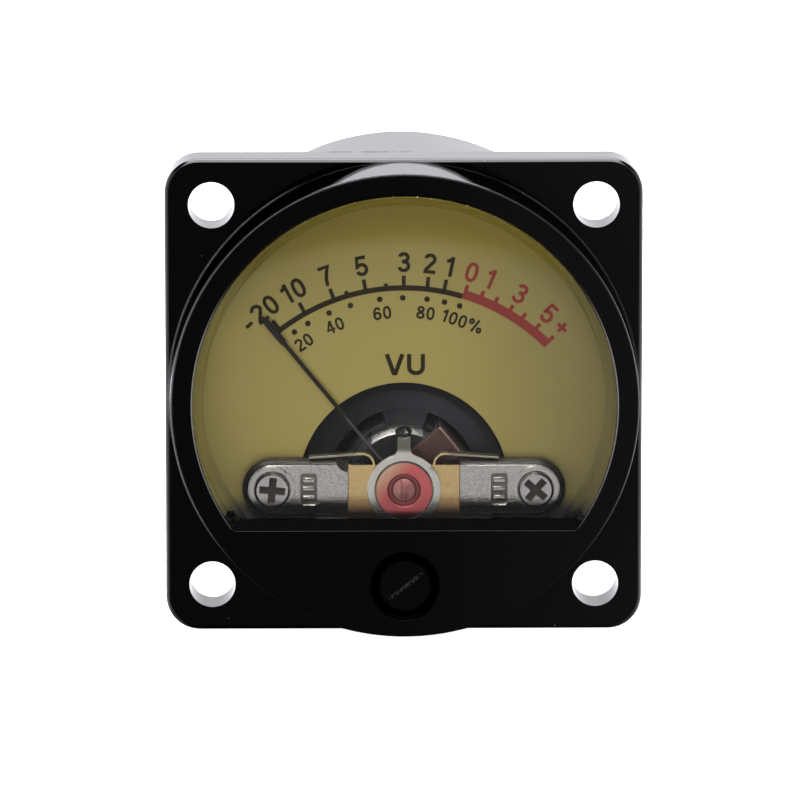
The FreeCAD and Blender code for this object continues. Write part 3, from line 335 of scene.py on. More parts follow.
def finish(name, base, rough, metallic=0.0, grain=0.15, mottle=0.15, relief=0.02,
           worn=None, dusty=None, coat=0.0, specular=0.5, layers=(), forward=None):
    """A finish with grain in its colour, gloss and relief, worn edges, specks of dust, and further
    layers, each a mask maker with its colour, roughness and metalness. Where the mask forward is
    one, the surface is shaded as if it faced the front. Grain and relief are in millimetres."""
    material, tree, shader = blank_material(name)
    grained = place_group(tree, "surface_grain", Size=grain * MM)
    shown = mixed(tree, "RGBA", grained, tinted(base, 1.0 - mottle), tinted(base, 1.0 + mottle))
    gloss = ramp(tree, grained, *GRAIN_RANGE, rough * (1.0 - GLOSS_SPREAD), rough * (1.0 + GLOSS_SPREAD))
    metal = metallic
    for mask_maker, layer_colour, layer_rough, layer_metal in layers:
        mask = mask_maker(tree)
        shown = mixed(tree, "RGBA", mask, shown, layer_colour)
        gloss = mixed(tree, "FLOAT", mask, gloss, layer_rough)
        metal = mixed(tree, "FLOAT", mask, metal, layer_metal)
    if worn is not None:
        shown = mixed(tree, "RGBA", place_group(tree, "edge_wear"), shown, worn)
    if dusty is not None:
        shown = mixed(tree, "RGBA", place_group(tree, "settled_dust"), shown, dusty)
    bump = node(tree, "ShaderNodeBump")
    feed_all(tree, bump, {"Distance": relief * MM, "Height": grained})
    normal = bump.outputs[0]
    if forward is not None:
        normal = mixed(tree, "VECTOR", forward(tree), normal, (0.0, -1.0, 0.0))
    feed_all(tree, shader, {"Base Color": shown, "Roughness": gloss, "Metallic": metal,
                            "Coat Weight": coat, "Specular IOR Level": specular, "Normal": normal})
    return material


def tinted(base, *shares):
    """A colour with its channels multiplied, by one share or by one each."""
    if len(shares) == 1:
        shares *= 3
    return tuple(min(1.0, channel * share) for channel, share in zip(base, shares))


# ---- Masks: makers of a value from none to one; low, high and the like are in millimetres ----
def along(axis, low, high):
    """Grows from low to high along an axis."""
    def maker(tree):
        place = fed(tree, "ShaderNodeSeparateXYZ", object_place(tree)).outputs
        return ramp(tree, place[axis], low * MM, high * MM)
    return maker


def behind(y, low, high):
    """Grows with the depth behind a plane; the plane's y is in metres."""
    return along("Y", y / MM + low, y / MM + high)


def from_axis(low, high, z=PIVOT.z):
    """Grows with the distance from a front-to-back axis; its height z is in metres."""
    def maker(tree):
        flat = vector_node(tree, "MULTIPLY_ADD", object_place(tree), (1, 0, 1), (-PIVOT.x, 0, -z))
        return ramp(tree, vector_node(tree, "LENGTH", flat), low * MM, high * MM)
    return maker


def reach_towards(tree, turn_deg):
    """Distance from the pivot along a direction turned clockwise from straight up."""
    turn = math.radians(turn_deg)
    way = Vector((math.sin(turn), 0.0, math.cos(turn)))
    reach = vector_node(tree, "DOT_PRODUCT", object_place(tree), way)
    return math_node(tree, "SUBTRACT", reach, PIVOT.dot(way))


def towards(turn_deg, low, high):
    """Grows along a direction from the pivot."""
    return lambda tree: ramp(tree, reach_towards(tree, turn_deg), low * MM, high * MM)


def beside(turn_deg, low, high):
    """Grows on both sides of a line through the pivot."""
    def maker(tree):
        off_line = math_node(tree, "ABSOLUTE", reach_towards(tree, turn_deg + 90))
        return ramp(tree, off_line, low * MM, high * MM)
    return maker


def wires(turn_deg, pitch):
    """Fine lines that run along a direction."""
    def maker(tree):
        phase = math_node(tree, "MULTIPLY", reach_towards(tree, turn_deg + 90), math.tau / (pitch * MM))
        return ramp(tree, math_node(tree, "SINE", phase), *WIRE_EDGE)
    return maker


def patches(size, low, high):
    """Noise, cut between two of its own values."""
    def maker(tree):
        value = node(tree, "ShaderNodeValue")
        value.outputs[0].default_value = size * MM
        return ramp(tree, object_noise(tree, value.outputs[0], FINE_DETAIL), low, high)
    return maker


def all_of(*makers):
    """Where masks meet."""
    return lambda tree: fold(tree, "MULTIPLY", *(maker(tree) for maker in makers))


def any_of(*makers):
    """Masks together."""
    return lambda tree: fold(tree, "MAXIMUM", *(maker(tree) for maker in makers))


def ring(start, full, fading, end, z=PIVOT.z):
    """A ring about a front-to-back axis, whole between full and fading."""
    return all_of(from_axis(start, full, z), from_axis(end, fading, z))


WELD_REACH = 1e-7
FLAT_ANGLE, SHARP_ANGLE = math.radians(0.2), math.radians(30)


def dress(names, material):
    """Give CAD nodes a finish."""
    for name in names:
        slots = NODES[name].data.materials
        slots.clear()
        slots.append(material)


def soften(names, width, segments=2):
    """Round the true edges of CAD nodes with live modifiers."""
    for name in names:
        piece = NODES[name]
        weld = piece.modifiers.new("weld", "WELD")
        weld.merge_threshold = WELD_REACH
        flat = piece.modifiers.new("flat faces", "DECIMATE")
        flat.decimate_type = "DISSOLVE"
        flat.angle_limit = FLAT_ANGLE
        rounded = piece.modifiers.new("rounded edges", "BEVEL")
        rounded.width = width
        rounded.segments = segments
        rounded.limit_method = "ANGLE"
        rounded.angle_limit = SHARP_ANGLE
        rounded.use_clamp_overlap = True
        piece.modifiers.new("even shading", "WEIGHTED_NORMAL")


# ---- New meshes ----
UPRIGHT = Matrix.Rotation(math.radians(90), 4, "X")
DOT_SIDES = 24
ARC_STEP_DEG = 1.0
BOW_STEP_DEG = 15.0
MITRE_LIMIT = 0.62         # least cosine between a pen corner's mitre and its sides
LETTER_GAP = 0.11          # between signs, in sign heights
LIFT_STEP = 0.05           # each crossing pen stroke lies this much higher than the last


def new_object(name, data):
    made = bpy.data.objects.new(name, data)
    bpy.context.scene.collection.objects.link(made)
    return made


def add_piece(name, bm, material, body, stands_for=(), smooth=False):
    """A mesh with outward faces as a piece on a CAD body."""
    piece = new_object(name, finished_mesh(bm, name, smooth))
    piece.data.materials.append(material)
    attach(piece, body)
    if stands_for:
        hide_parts(*stands_for)
    return piece


def on_dial(radius, turn):
    """Point at a distance from the pivot, turned clockwise from straight up, on the dial's face."""
    return Vector((PIVOT.x + radius * math.sin(turn), DIAL_Y, PIVOT.z + radius * math.cos(turn)))


def print_matrix(radius, turn):
    """Takes print drawn flat about the origin (x right, y up) to its place on the dial."""
    return Matrix.Translation(on_dial(radius, turn)) @ Matrix.Rotation(turn, 4, "Y") @ UPRIGHT


def shift(bm, made, way):
    """Move the vertices that an extrusion made."""
    moved = [v for v in made["geom"] if isinstance(v, bmesh.types.BMVert)]
    bmesh.ops.translate(bm, vec=way, verts=moved)


def raise_faces(bm, faces, lift):
    """Give flat print its thickness, towards the front."""
    shift(bm, bmesh.ops.extrude_face_region(bm, geom=list(faces)), (0, -lift, 0))


def linked_faces(made):
    return {f for v in made["verts"] for f in v.link_faces}


def arc_print(bm, radius, width, ends_deg, lift):
    """A stretch of ring about the pivot."""
    start, end = (math.radians(turn) for turn in ends_deg)
    known = set(bm.faces)
    verts = [bm.verts.new(on_dial(radius + side * width / 2, start)) for side in (-1, 1)]
    edge = bm.edges.new(verts)
    steps = max(1, round(math.degrees(end - start) / ARC_STEP_DEG))
    bmesh.ops.spin(bm, geom=verts + [edge], cent=on_dial(0, 0), axis=(0, 1, 0), angle=end - start,
                   steps=steps, use_merge=False)
    raise_faces(bm, [f for f in bm.faces if f not in known], lift)


def bar_print(bm, inner, outer, width, turn, lift):
    """A radial mark from one distance to another."""
    middle = (inner + outer) / 2
    matrix = print_matrix(middle, turn) @ Matrix.Diagonal((width, outer - inner, 1, 1))
    made = bmesh.ops.create_grid(bm, x_segments=1, y_segments=1, size=0.5, matrix=matrix)
    raise_faces(bm, linked_faces(made), lift)


def dot_print(bm, radius, track, turn, lift):
    made = bmesh.ops.create_circle(bm, cap_ends=True, segments=DOT_SIDES, radius=radius,
                                   matrix=print_matrix(track, turn))
    raise_faces(bm, linked_faces(made), lift)


def bow(x, y, reach_x, reach_y, start_deg, end_deg, square=1.0):
    """Points on a stretch of ellipse, anticlockwise from the right; square below 1 fills corners."""
    steps = max(4, round(abs(end_deg - start_deg) / BOW_STEP_DEG))
    points = []
    for i in range(steps + 1):
        turn = math.radians(start_deg + (end_deg - start_deg) * i / steps)
        across, up = math.cos(turn), math.sin(turn)
        points.append(Vector((x + reach_x * math.copysign(abs(across) ** square, across),
                              y + reach_y * math.copysign(abs(up) ** square, up))))
    return points


def corners(*pairs):
    return [Vector(pair) for pair in pairs]


def pen_strokes(letter, h):
    """Width of a sign of unit height, its open and its closed strokes; h is half the pen's width."""
    def curve(x, y, reach_x, reach_y, start_deg, end_deg):
        return bow(x, y, reach_x - h, reach_y - h, start_deg, end_deg)

    def oval(x, y, reach_x, reach_y, square=1.0):
        return bow(x, y, reach_x - h, reach_y - h, 0, 360, square)[:-1]

    nick = corners((0.22, 0.525))
    signs = {
        "0": (0.64, [], [oval(0.32, 0.5, 0.31, 0.5, 0.86)]),
        "1": (0.52, [corners((0.37, 1), (0.37, 0)),
                     corners((0.09, 0.75), (0.25, 0.79), (0.36, 0.93))], []),
        "2": (0.64, [curve(0.32, 0.71, 0.31, 0.29, 172, -34)
                     + corners((h + 0.07, h + 0.1), (h + 0.05, h), (0.63, h))], []),
        "3": (0.64, [curve(0.31, 0.7235, 0.29, 0.276, 166, -90) + nick,
                     nick + curve(0.31, 0.3015, 0.32, 0.3015, 90, -166)], []),
        "4": (0.66, [corners((0.46, 1), (0.46, 0)), corners((0.43, 0.95), (h, 0.31), (0.66, 0.31))], []),
        "5": (0.64, [corners((0.59, 1 - h), (0.17, 1 - h), (0.105, 0.47))
                     + curve(0.32, 0.33, 0.32, 0.33, 140, -162)], []),
        "6": (0.64, [curve(0.34, 0.5, 0.33, 0.5, 38, 180) + corners((h + 0.01, 0.33))],
              [oval(0.325, 0.32, 0.315, 0.32)]),
        "7": (0.62, [corners((0.02, 1 - h), (0.54, 1 - h), (0.37, 0.62), (0.27, 0.3), (0.23, 0))], []),
        "8": (0.64, [], [oval(0.32, 0.745, 0.28, 0.255), oval(0.32, 0.285, 0.32, 0.285)]),
        "%": (1.16, [corners((0.76, 1), (0.4, 0))],
              [oval(0.23, 0.76, 0.22, 0.24), oval(0.93, 0.24, 0.22, 0.24)]),
        "+": (0.56, [corners((0, 0.42), (0.56, 0.42)), corners((0.28, 0.14), (0.28, 0.7))], []),
        "-": (0.4, [corners((0, 0.4), (0.4, 0.4))], []),
        "V": (0.93, [corners((h, 1), (0.425, h), (0.505, h), (0.93 - h, 1))], []),
        "U": (0.84, [corners((h, 1)) + curve(0.42, 0.38, 0.42, 0.38, 180, 360)
                     + corners((0.84 - h, 1))], []),
    }
    return signs[letter]


def sideways(start, end):
    run = (end - start).normalized()
    return Vector((-run.y, run.x))


def pen_ribbon(bm, points, half, closed, matrix, lift):
    """A raised stroke along points in the plane."""
    count = len(points)
    rails = []
    for i, point in enumerate(points):
        before = sideways(points[i - 1], point) if closed or i > 0 else None
        after = sideways(point, points[(i + 1) % count]) if closed or i < count - 1 else None
        first, second = before or after, after or before
        middle = (first + second).normalized()
        reach = middle * (half / max(middle.dot(first), MITRE_LIMIT))
        rails.append([bm.verts.new(matrix @ (point + side * reach).to_3d()) for side in (-1, 1)])
    pairs = list(zip(rails, rails[1:]))
    if closed:
        pairs.append((rails[-1], rails[0]))
    faces = [bm.faces.new((a[0], b[0], b[1], a[1])) for a, b in pairs]
    raise_faces(bm, faces, lift)


def text_print(bm, letters, height, matrix, lift, pen_width):
    """Drawn signs, centred, standing upright in the plane that matrix gives."""
    half = pen_width / 2
    drawn = [pen_strokes(letter, half) for letter in letters]
    width = sum(sign[0] for sign in drawn) + LETTER_GAP * (len(letters) - 1)
    x = -width / 2
    for sign_width, opened, closed in drawn:
        place = matrix @ Matrix.Diagonal((height, height, height, 1)) @ Matrix.Translation((x, -0.5, 0))
        for i, points in enumerate(opened + closed):
            pen_ribbon(bm, points, half, i >= len(opened), place, lift * (1 + LIFT_STEP * (i + 1)))
        x += sign_width + LETTER_GAP


def finished_mesh(bm, name, smooth):
    mesh = bpy.data.meshes.new(name)
    bmesh.ops.recalc_face_normals(bm, faces=bm.faces)
    for f in bm.faces:
        f.smooth = smooth
    bm.to_mesh(mesh)
    bm.free()
    return mesh


# ---- Dial print, angles clockwise from straight up ----
DARK_MARKS_DEG = (-37.9, -29.3, -20.2, -10.85, 0.0, 6.65, 11.5)
DARK_SHORT_DEG = (-16.3, -5.0)
RED_MARKS_DEG = (17.4, 22.0, 26.2, 30.8, 34.9, 39.65, 44.6)
DARK_ARC_DEG = (-38.5, 16.9)
RED_ARC_DEG = (16.9, 45.1)
DOTS_DEG = (-34.9, -30.1, -23.0, -16.2, -7.2, -0.3, 7.0, 12.3, 17.0)
DARK_SIGNS = {"-": -43.3, "20": -37.7, "10": -29.2, "7": -20.0, "5": -10.8, "3": 0.06, "2": 6.6,
              "1": 11.6}
RED_SIGNS = {"0": 17.45, "1": 22.3, "3": 30.9, "5": 39.7, "+": 44.55}
PERCENTS = {"20": -34.3, "40": -22.9, "60": -7.0, "80": 7.1, "100%": 19.2}
PEN_WIDTH = 0.175          # of the numerals, in sign heights
UNIT_PEN_WIDTH = 0.2
MARK_OVERLAP = 0.03 * MM   # a mark's foot lies this far over its arc
UNIT_MIDDLE = (0.08 * MM, 2.16 * MM)
MARK_LIFT = 1.2            # thickness of the marks, in thicknesses of the arc


def mark_prints(bm, dial, turns_deg, inner, outer):
    for turn in turns_deg:
        bar_print(bm, inner - MARK_OVERLAP, outer, dial.tick_width, math.radians(turn),
                  MARK_LIFT * dial.ink_thick)


def numeral_prints(bm, signs, height, track, lift):
    for letters, turn in signs.items():
        text_print(bm, letters, height, print_matrix(track, math.radians(turn)), lift, PEN_WIDTH)


def dark_print(dial):
    bm = bmesh.new()
    arc_print(bm, dial.arc_radius, dial.arc_width, DARK_ARC_DEG, dial.ink_thick)
    rim = dial.arc_radius + dial.arc_width / 2
    mark_prints(bm, dial, DARK_MARKS_DEG, rim, dial.tick_top)
    mark_prints(bm, dial, DARK_SHORT_DEG, rim, dial.minor_top)
    for turn in DOTS_DEG:
        dot_print(bm, dial.dot_radius, dial.dot_track, math.radians(turn), dial.ink_thick)
    numeral_prints(bm, DARK_SIGNS, dial.numeral_height, dial.numeral_track, dial.ink_thick)
    numeral_prints(bm, PERCENTS, dial.percent_height, dial.percent_track, dial.ink_thick)
    return bm


def red_print(dial):
    bm = bmesh.new()
    arc_print(bm, dial.red_radius, dial.red_width, RED_ARC_DEG, dial.ink_thick)
    mark_prints(bm, dial, RED_MARKS_DEG, dial.red_radius + dial.red_width / 2, dial.tick_top)
    numeral_prints(bm, RED_SIGNS, dial.numeral_height, dial.numeral_track, dial.ink_thick)
    return bm


def unit_print(dial):
    bm = bmesh.new()
    x, z = UNIT_MIDDLE
    matrix = Matrix.Translation((x, DIAL_Y, z)) @ UPRIGHT
    text_print(bm, "VU", dial.unit_height, matrix, dial.ink_thick, UNIT_PEN_WIDTH)
    return bm


# ---- Operators ----
PAINTED_RIGHT_LIGHT = (0.004, 0.004, 0.0045)        # painted light: the case's right side made lighter, as if the walls lit it more
PAINTED_EDGE_LIGHT = (0.075, 0.075, 0.078)     # painted highlight along the bezel's front edge
PAINTED_BASE_LIGHT = (0.09, 0.09, 0.093)       # painted highlight where the bezel stands on the flange
LINE_GLOSS = 0.4
NOTHING = (0.0, 0.0, 0.0)


class METER_OT_case(bpy.types.Operator):
    """Finish the flange, the barrel and the rear cover"""
    bl_idname = "meter.case"
    bl_label = "Case"

    def execute(self, context):
        case = context.scene.meter_case
        bezel_edge = behind(BEZEL_Y, 0.4, 0.38)
        foot = all_of(along("Z", -9.0, -9.1), behind(BEZEL_Y, 0.11, 0.08))
        rim = all_of(ring(16.6, 16.65, 17.02, 17.06, z=0.0), bezel_edge)
        # dark dashes along the top of the flange where the barrel meets it, shaded as if facing the
        # front
        joint_dashes = all_of(along("Y", -0.3, -0.25), along("Z", 17.3, 17.4), patches(0.9, 0.5, 0.55),
                       along("X", -6, -5), along("X", 1.2, 0.8))
        dimmer_right = along("X", 30, -8)
        # painted highlight along the bezel's front edge, dimmer to the right
        edge_highlight_mask = all_of(ring(16.93, 16.97, 17.03, 17.07, z=0.0), bezel_edge,
                           along("Z", -12, -8), dimmer_right)
        # painted highlight round the bezel's foot on the flange, dimmer to the right
        base_highlight_mask = all_of(ring(17.265, 17.305, 17.355, 17.395, z=0.0), behind(FLANGE_Y, -0.05, -0.01),
                           along("Z", -4, -1), beside(0, 6.5, 10), dimmer_right)
        # painted shade: the recess round the zero screw made black, with no reflection
        shaded_recess = all_of(from_axis(2.56, 2.5, ZERO_Z), behind(BEZEL_Y, 0.06, 0.12))
        moulded = {"grain": 0.6, "mottle": 0.1, "relief": 0.0002, "dusty": case.dust,
                   "specular": case.shine}
        dress(["front_case"], finish("polished_black", case.black, case.gloss, **moulded,
                                     forward=any_of(foot, rim, joint_dashes),
                                     layers=[(along("X", -4, 17), PAINTED_RIGHT_LIGHT, case.gloss, 0.0),
                                             (edge_highlight_mask, PAINTED_EDGE_LIGHT, LINE_GLOSS, 0.0),
                                             (base_highlight_mask, PAINTED_BASE_LIGHT, LINE_GLOSS, 0.0),
                                             (shaded_recess, NOTHING, case.gloss, 1.0)]))
        dress(["rear_housing"], finish("polished_housing", case.black, case.gloss, **moulded))
        soften(["front_case", "rear_housing"], case.edge, 3)
        dress(["rear_cover"], finish("satin_black", case.cover_black, case.cover_gloss, grain=0.12))
        soften(["rear_cover"], case.edge)
        return {"FINISHED"}


SHADED_WINDOW_FOOT = (-8.4, -8.42)    # below here the window is painted black, standing in for the shade at the sill, in millimetres
ACRYLIC_IOR = 1.49


class METER_OT_window(bpy.types.Operator):
    """Make the window clear"""
    bl_idname = "meter.window"
    bl_label = "Window"

    def execute(self, context):
        case = context.scene.meter_case
        material, tree, shader = blank_material("clear_acrylic")
        # the clear tint, painted black below the foot as a stand-in for shade
        tint = mixed(tree, "RGBA", along("Z", *SHADED_WINDOW_FOOT)(tree), case.clear, NOTHING)
        feed_all(tree, shader, {"Base Color": tint, "Roughness": case.clear_rough, "IOR": ACRYLIC_IOR,
                                "Transmission Weight": 1.0, "Specular Tint": (case.glare,) * 3})
        path = node(tree, "ShaderNodeLightPath").outputs
        passes = math_node(tree, "MAXIMUM", path["Is Shadow Ray"], path["Is Diffuse Ray"])
        mix = fed(tree, "ShaderNodeMixShader", passes, shader.outputs[0],
                  node(tree, "ShaderNodeBsdfTransparent").outputs[0])
        tree.links.new(mix.outputs[0], tree.nodes["Material Output"].inputs["Surface"])
        dress(["window"], material)
        soften(["window"], 0.25 * case.edge, 1)
        return {"FINISHED"}


TOP_SHADE_DROP = 11.8 * MM     # the edge of the painted shade under the bezel's top is an arc about a point this far below the pivot
FOOT_SHADE = (0.015, 0.013, 0.006)
PAINT_GLOSS = 0.55


class METER_OT_dial(bpy.types.Operator):
    """Paint the dial and print its scale"""
    bl_idname = "meter.dial"
    bl_label = "Dial"

    def execute(self, context):
        dial = context.scene.meter_dial
        # Painted shade on the dial: duller above, darker towards the right, the crescent under the
        # bezel's top and the dark foot. The key light also casts a weaker real shadow under the bezel.
        painted_upper_shade = tinted(dial.paint, 0.87, 0.87, 0.88)
        painted_right_shade = tinted(dial.paint, 0.66, 0.66, 0.74)
        layers = [(along("Z", 4, 10), painted_upper_shade, PAINT_GLOSS, 0.0),
                  (along("X", 1, 14), painted_right_shade, PAINT_GLOSS, 0.0),
                  (from_axis(29.2, 31.0, PIVOT.z - TOP_SHADE_DROP), dial.shaded, PAINT_GLOSS, 0.0),
                  (along("Z", -7.2, -8.8), FOOT_SHADE, 0.6, 0.0)]
        dress(["dial_plate"], finish("dial_paint", dial.paint, PAINT_GLOSS, grain=0.12, mottle=0.1,
                                     relief=0.002, specular=0.35, layers=layers))
        printed = {"rough": 0.6, "grain": 0.06, "relief": 0.001, "specular": 0.1}
        ink = finish("dark_ink", dial.ink, mottle=0.3, **printed)
        red = finish("red_ink", dial.red, mottle=0.15, **printed)
        add_piece("scale_dark", dark_print(dial), ink, "case")
        add_piece("unit_letters", unit_print(dial), ink, "case")
        add_piece("scale_red", red_print(dial), red, "case")
        return {"FINISHED"}


# Masks of the movement; a direction of 0 is straight up
LOW_SHADE = along("Z", -8.0, -8.7)     # the window's sill keeps the light off below here
CORE_FACE = all_of(from_axis(3.82, 3.76), behind(CORE_Y, 0.2, 0.1))
# painted shade in the bush's groove, along its edges and round the disc's border
SHADED_DISC_GROOVE = ring(0.82, 0.86, 1.16, 1.22)
SHADED_GROOVE_EDGES = any_of(ring(0.8, 0.83, 0.9, 0.96), ring(1.08, 1.14, 1.2, 1.24))
SHADED_DISC_BORDER = from_axis(2.02, 2.08)
ABOVE_RING = towards(0, 1.8, 1.9)
SHADOW = (0.01, 0.01, 0.011)


class METER_OT_movement(bpy.types.Operator):
    """Finish the fixed metal of the movement"""
    bl_idname = "meter.movement"
    bl_label = "Movement"

    def execute(self, context):
        move = context.scene.meter_movement
        dress(["movement_frame"],
              finish("die_cast", move.cast, 0.1, 1.0, grain=0.12, mottle=0.5, relief=0.008, specular=0.1,
                     # painted shade on the ears' rounded edges and recesses behind their face, and
                     # painted shadow on the frame behind the dial
                     layers=[(behind(EAR_Y, 0.04, 0.3), tinted(move.cast, 0.1), 0.3, 1.0),
                             (behind(DIAL_Y, 0.1, 0.2), SHADOW, 0.6, 0.0)]))
        arms = all_of(beside(0, 3.0, 3.6), ABOVE_RING)
        # painted shade on the tops of the stop arms
        shaded_arm_tops = all_of(behind(EAR_Y, 0.04, 0.08), ABOVE_RING)
        dress(["front_bridge", "rear_bridge", "rear_jewel_screw", "rear_spring_anchor"],
              finish("satin_brass", move.brass, 0.14, 0.82, grain=0.12, mottle=0.3, relief=0.005,
                     layers=[(along("Z", -7.4, -7.9), move.brass, 0.2, 0.75),
                             (LOW_SHADE, (0.05, 0.035, 0.02), 0.3, 1.0),
                             (arms, (0.42, 0.38, 0.27), 0.3, 1.0),
                             (shaded_arm_tops, (0.11, 0.11, 0.07), 0.5, 0.0)]))
        plated = {"rough": 0.14, "metallic": 1.0, "grain": 0.08, "relief": 0.006}
        dress(["bridge_screws", "rear_bridge_screws"],
              finish("nickel_plate", move.nickel, mottle=0.2, **plated))
        # painted shade in the screws' cross recesses
        cross = behind(CROSS_Y, 0.15, 0.25)
        dress(["frame_screws"], finish("nickel_screw", move.nickel, mottle=0.3, **plated,
                                       layers=[(cross, (0.03, 0.024, 0.02), 0.5, 0.5)]))
        dress(["core_magnet"],
              finish("core_plate", move.nickel, 0.3, 1.0, mottle=0.05, relief=0.0005,
                     # painted shadow on the core's sides and front face; the pale paint deep in the core
                     # is painted light in the gap
                     layers=[(along("X", -2.2, -2.4), SHADOW, 0.5, 0.0),
                             (along("X", 1.3, 1.5), SHADOW, 0.5, 0.0),
                             (behind(CORE_Y, 2.2, 3.2), (0.9, 0.9, 0.97), 0.6, 0.0),
                             (CORE_FACE, SHADOW, 0.4, 0.5)]))
        dress(["yoke_ring", "core_spacers"],
              finish("black_iron", move.iron, 0.5, 0.0, relief=0.001, specular=0.1,
                     # painted light: the iron lighter towards the right
                     layers=[(along("X", -4, 3), tinted(move.iron, 2), 0.5, 0.0)]))
        dress(["front_bush"],
              finish("red_lacquer", move.lacquer, 0.4, 0.5, grain=0.25, mottle=0.12, relief=0.001,
                     # painted highlight on the disc's upper left; painted shade in the groove, along its
                     # edges, round the border and at the bottom
                     layers=[(towards(-50, 0.5, 2.1), (0.56, 0.36, 0.22), 0.4, 0.5),
                             (SHADED_DISC_GROOVE, (0.3, 0.07, 0.07), 0.4, 0.4),
                             (SHADED_GROOVE_EDGES, (0.1, 0.008, 0.006), 0.5, 0.3),
                             (SHADED_DISC_BORDER, (0.06, 0.045, 0.03), 0.5, 0.2),
                             (along("Z", -8.25, -8.75), (0.06, 0.015, 0.015), 0.3, 1.0)]))
        dress(["front_jewel_screw"], finish("red_screw", (0.38, 0.14, 0.13), 0.35, 0.6, grain=0.2,
                                            relief=0.006, worn=(0.5, 0.24, 0.22)))
        soften(["movement_frame"], 1.2 * move.edge, 3)
        soften(["front_bridge", "core_magnet", "front_bush", "front_jewel_screw", "bridge_screws"],
               move.edge)
        return {"FINISHED"}


REST_DEG = -39.3               # pointer at rest, clockwise from straight up
COIL_DEG = REST_DEG + 90       # long side of the coil
COIL_EDGE = 0.25 * MM          # rounding of the winding


class METER_OT_pointer(bpy.types.Operator):
    """Finish the pointer, coil, hubs and staffs"""
    bl_idname = "meter.pointer"
    bl_label = "Pointer and coil"

    def execute(self, context):
        move = context.scene.meter_movement
        # painted highlight along the pointer's inner part
        pointer_highlight = all_of(beside(REST_DEG, 0.06, 0.04), towards(REST_DEG, 7.2, 6.2))
        dress(["pointer"], finish("pointer_paint", move.pointer, 0.4, relief=0.003, specular=0.2,
                                  layers=[(pointer_highlight, (0.12, 0.11, 0.12), 0.3, 0.5)]))
        # painted highlight along the coil's end edge
        coil_end_highlight = towards(COIL_DEG, 4.72, 4.8)
        dress(["moving_coil"],
              finish("wire_lacquer", move.winding, 0.35, 0.2, grain=0.1, mottle=0.3, relief=0.004,
                     coat=0.2, layers=[(wires(COIL_DEG, 0.22), tinted(move.winding, 0.45), 0.35, 0.2),
                                       (coil_end_highlight, (0.45, 0.33, 0.28), 0.3, 0.4)]))
        dress(["coil_former", "front_hub", "rear_hub"],
              finish("dull_aluminium", (0.3, 0.3, 0.3), 0.4, 0.9))
        dress(["front_staff", "rear_staff", "zero_clip"],
              finish("ground_steel", (0.5, 0.5, 0.5), 0.25, 1.0))
        dress(["front_hairspring", "rear_hairspring", "balance_weights"],
              finish("spring_bronze", move.bronze, 0.3, 1.0))
        soften(["moving_coil"], COIL_EDGE, 4)
        return {"FINISHED"}


BEAD_SPREAD = 1.45
BEAD_SAG = 0.12 * MM
BEAD_SWELL = 0.95                            # of the spread bead's half sizes
BEAD_WAVES = ((0.22, 1.7), (0.08, 5.0))      # height and pace of each unevenness
SLOT_SIDE_DEG = 142                          # across the adjusting screw's slot, towards its lower side


def solder_bead():
    """An uneven drop of solder, a little wider than the plain bead it stands for."""
    low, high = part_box("spring_solder")
    middle, half = (low + high) / 2, (high - low) / 2
    half.x *= BEAD_SPREAD
    middle.z -= BEAD_SAG
    bm = bmesh.new()
    bmesh.ops.create_icosphere(bm, subdivisions=5, radius=1.0)
    for vert in bm.verts:
        way = vert.co.normalized()
        swell = sum((height * noise.noise(way * pace) for height, pace in BEAD_WAVES), BEAD_SWELL)
        vert.co = middle + Vector(a * b * min(swell, 1.0) for a, b in zip(way, half))
    return bm


class METER_OT_zero_parts(bpy.types.Operator):
    """Finish the zero lever, its solder and the zero screw"""
    bl_idname = "meter.zero_parts"
    bl_label = "Zero lever and screw"

    def execute(self, context):
        move, case = context.scene.meter_movement, context.scene.meter_case
        # painted shade: the lever's arm a darker copy of its plate
        shaded_arm = towards(0, 2.7, 3.1)
        dress(["zero_lever"],
              finish("lever_plate", move.lever, 0.18, 0.85, grain=0.1, mottle=0.3, relief=0.006,
                     layers=[(shaded_arm, tinted(move.lever, 0.22), 0.3, 0.85),
                             (LOW_SHADE, (0.05, 0.05, 0.05), 0.3, 1.0)]))
        solder = finish("dull_solder", (0.035, 0.037, 0.033), 0.3, 0.6, grain=0.2, mottle=0.6)
        add_piece("solder_bead", solder_bead(), solder, "spring_lever", ["spring_solder"], smooth=True)
        side = (ZERO_Z - PIVOT.z) * math.cos(math.radians(SLOT_SIDE_DEG)) / MM
        # painted highlight along the lower edge of the screw's slot, in broken patches
        slot_highlight = all_of(towards(SLOT_SIDE_DEG, side - 0.03, side + 0.06), patches(0.25, 0.35, 0.6),
                        behind(ZERO_Y, 0.04, 0.1), from_axis(1.7, 1.3, ZERO_Z))
        dress(["zero_adjust_screw"],
              finish("screw_black", case.black, 0.1, grain=0.3, mottle=0.3, relief=0.001,
                     specular=case.shine, layers=[(slot_highlight, (0.045, 0.045, 0.045), 0.3, 0.0)]))
        soften(["zero_lever"], move.edge)
        return {"FINISHED"}


REAR_EDGE_WIDTH = 0.04 * MM    # rounding of terminals and cover screws


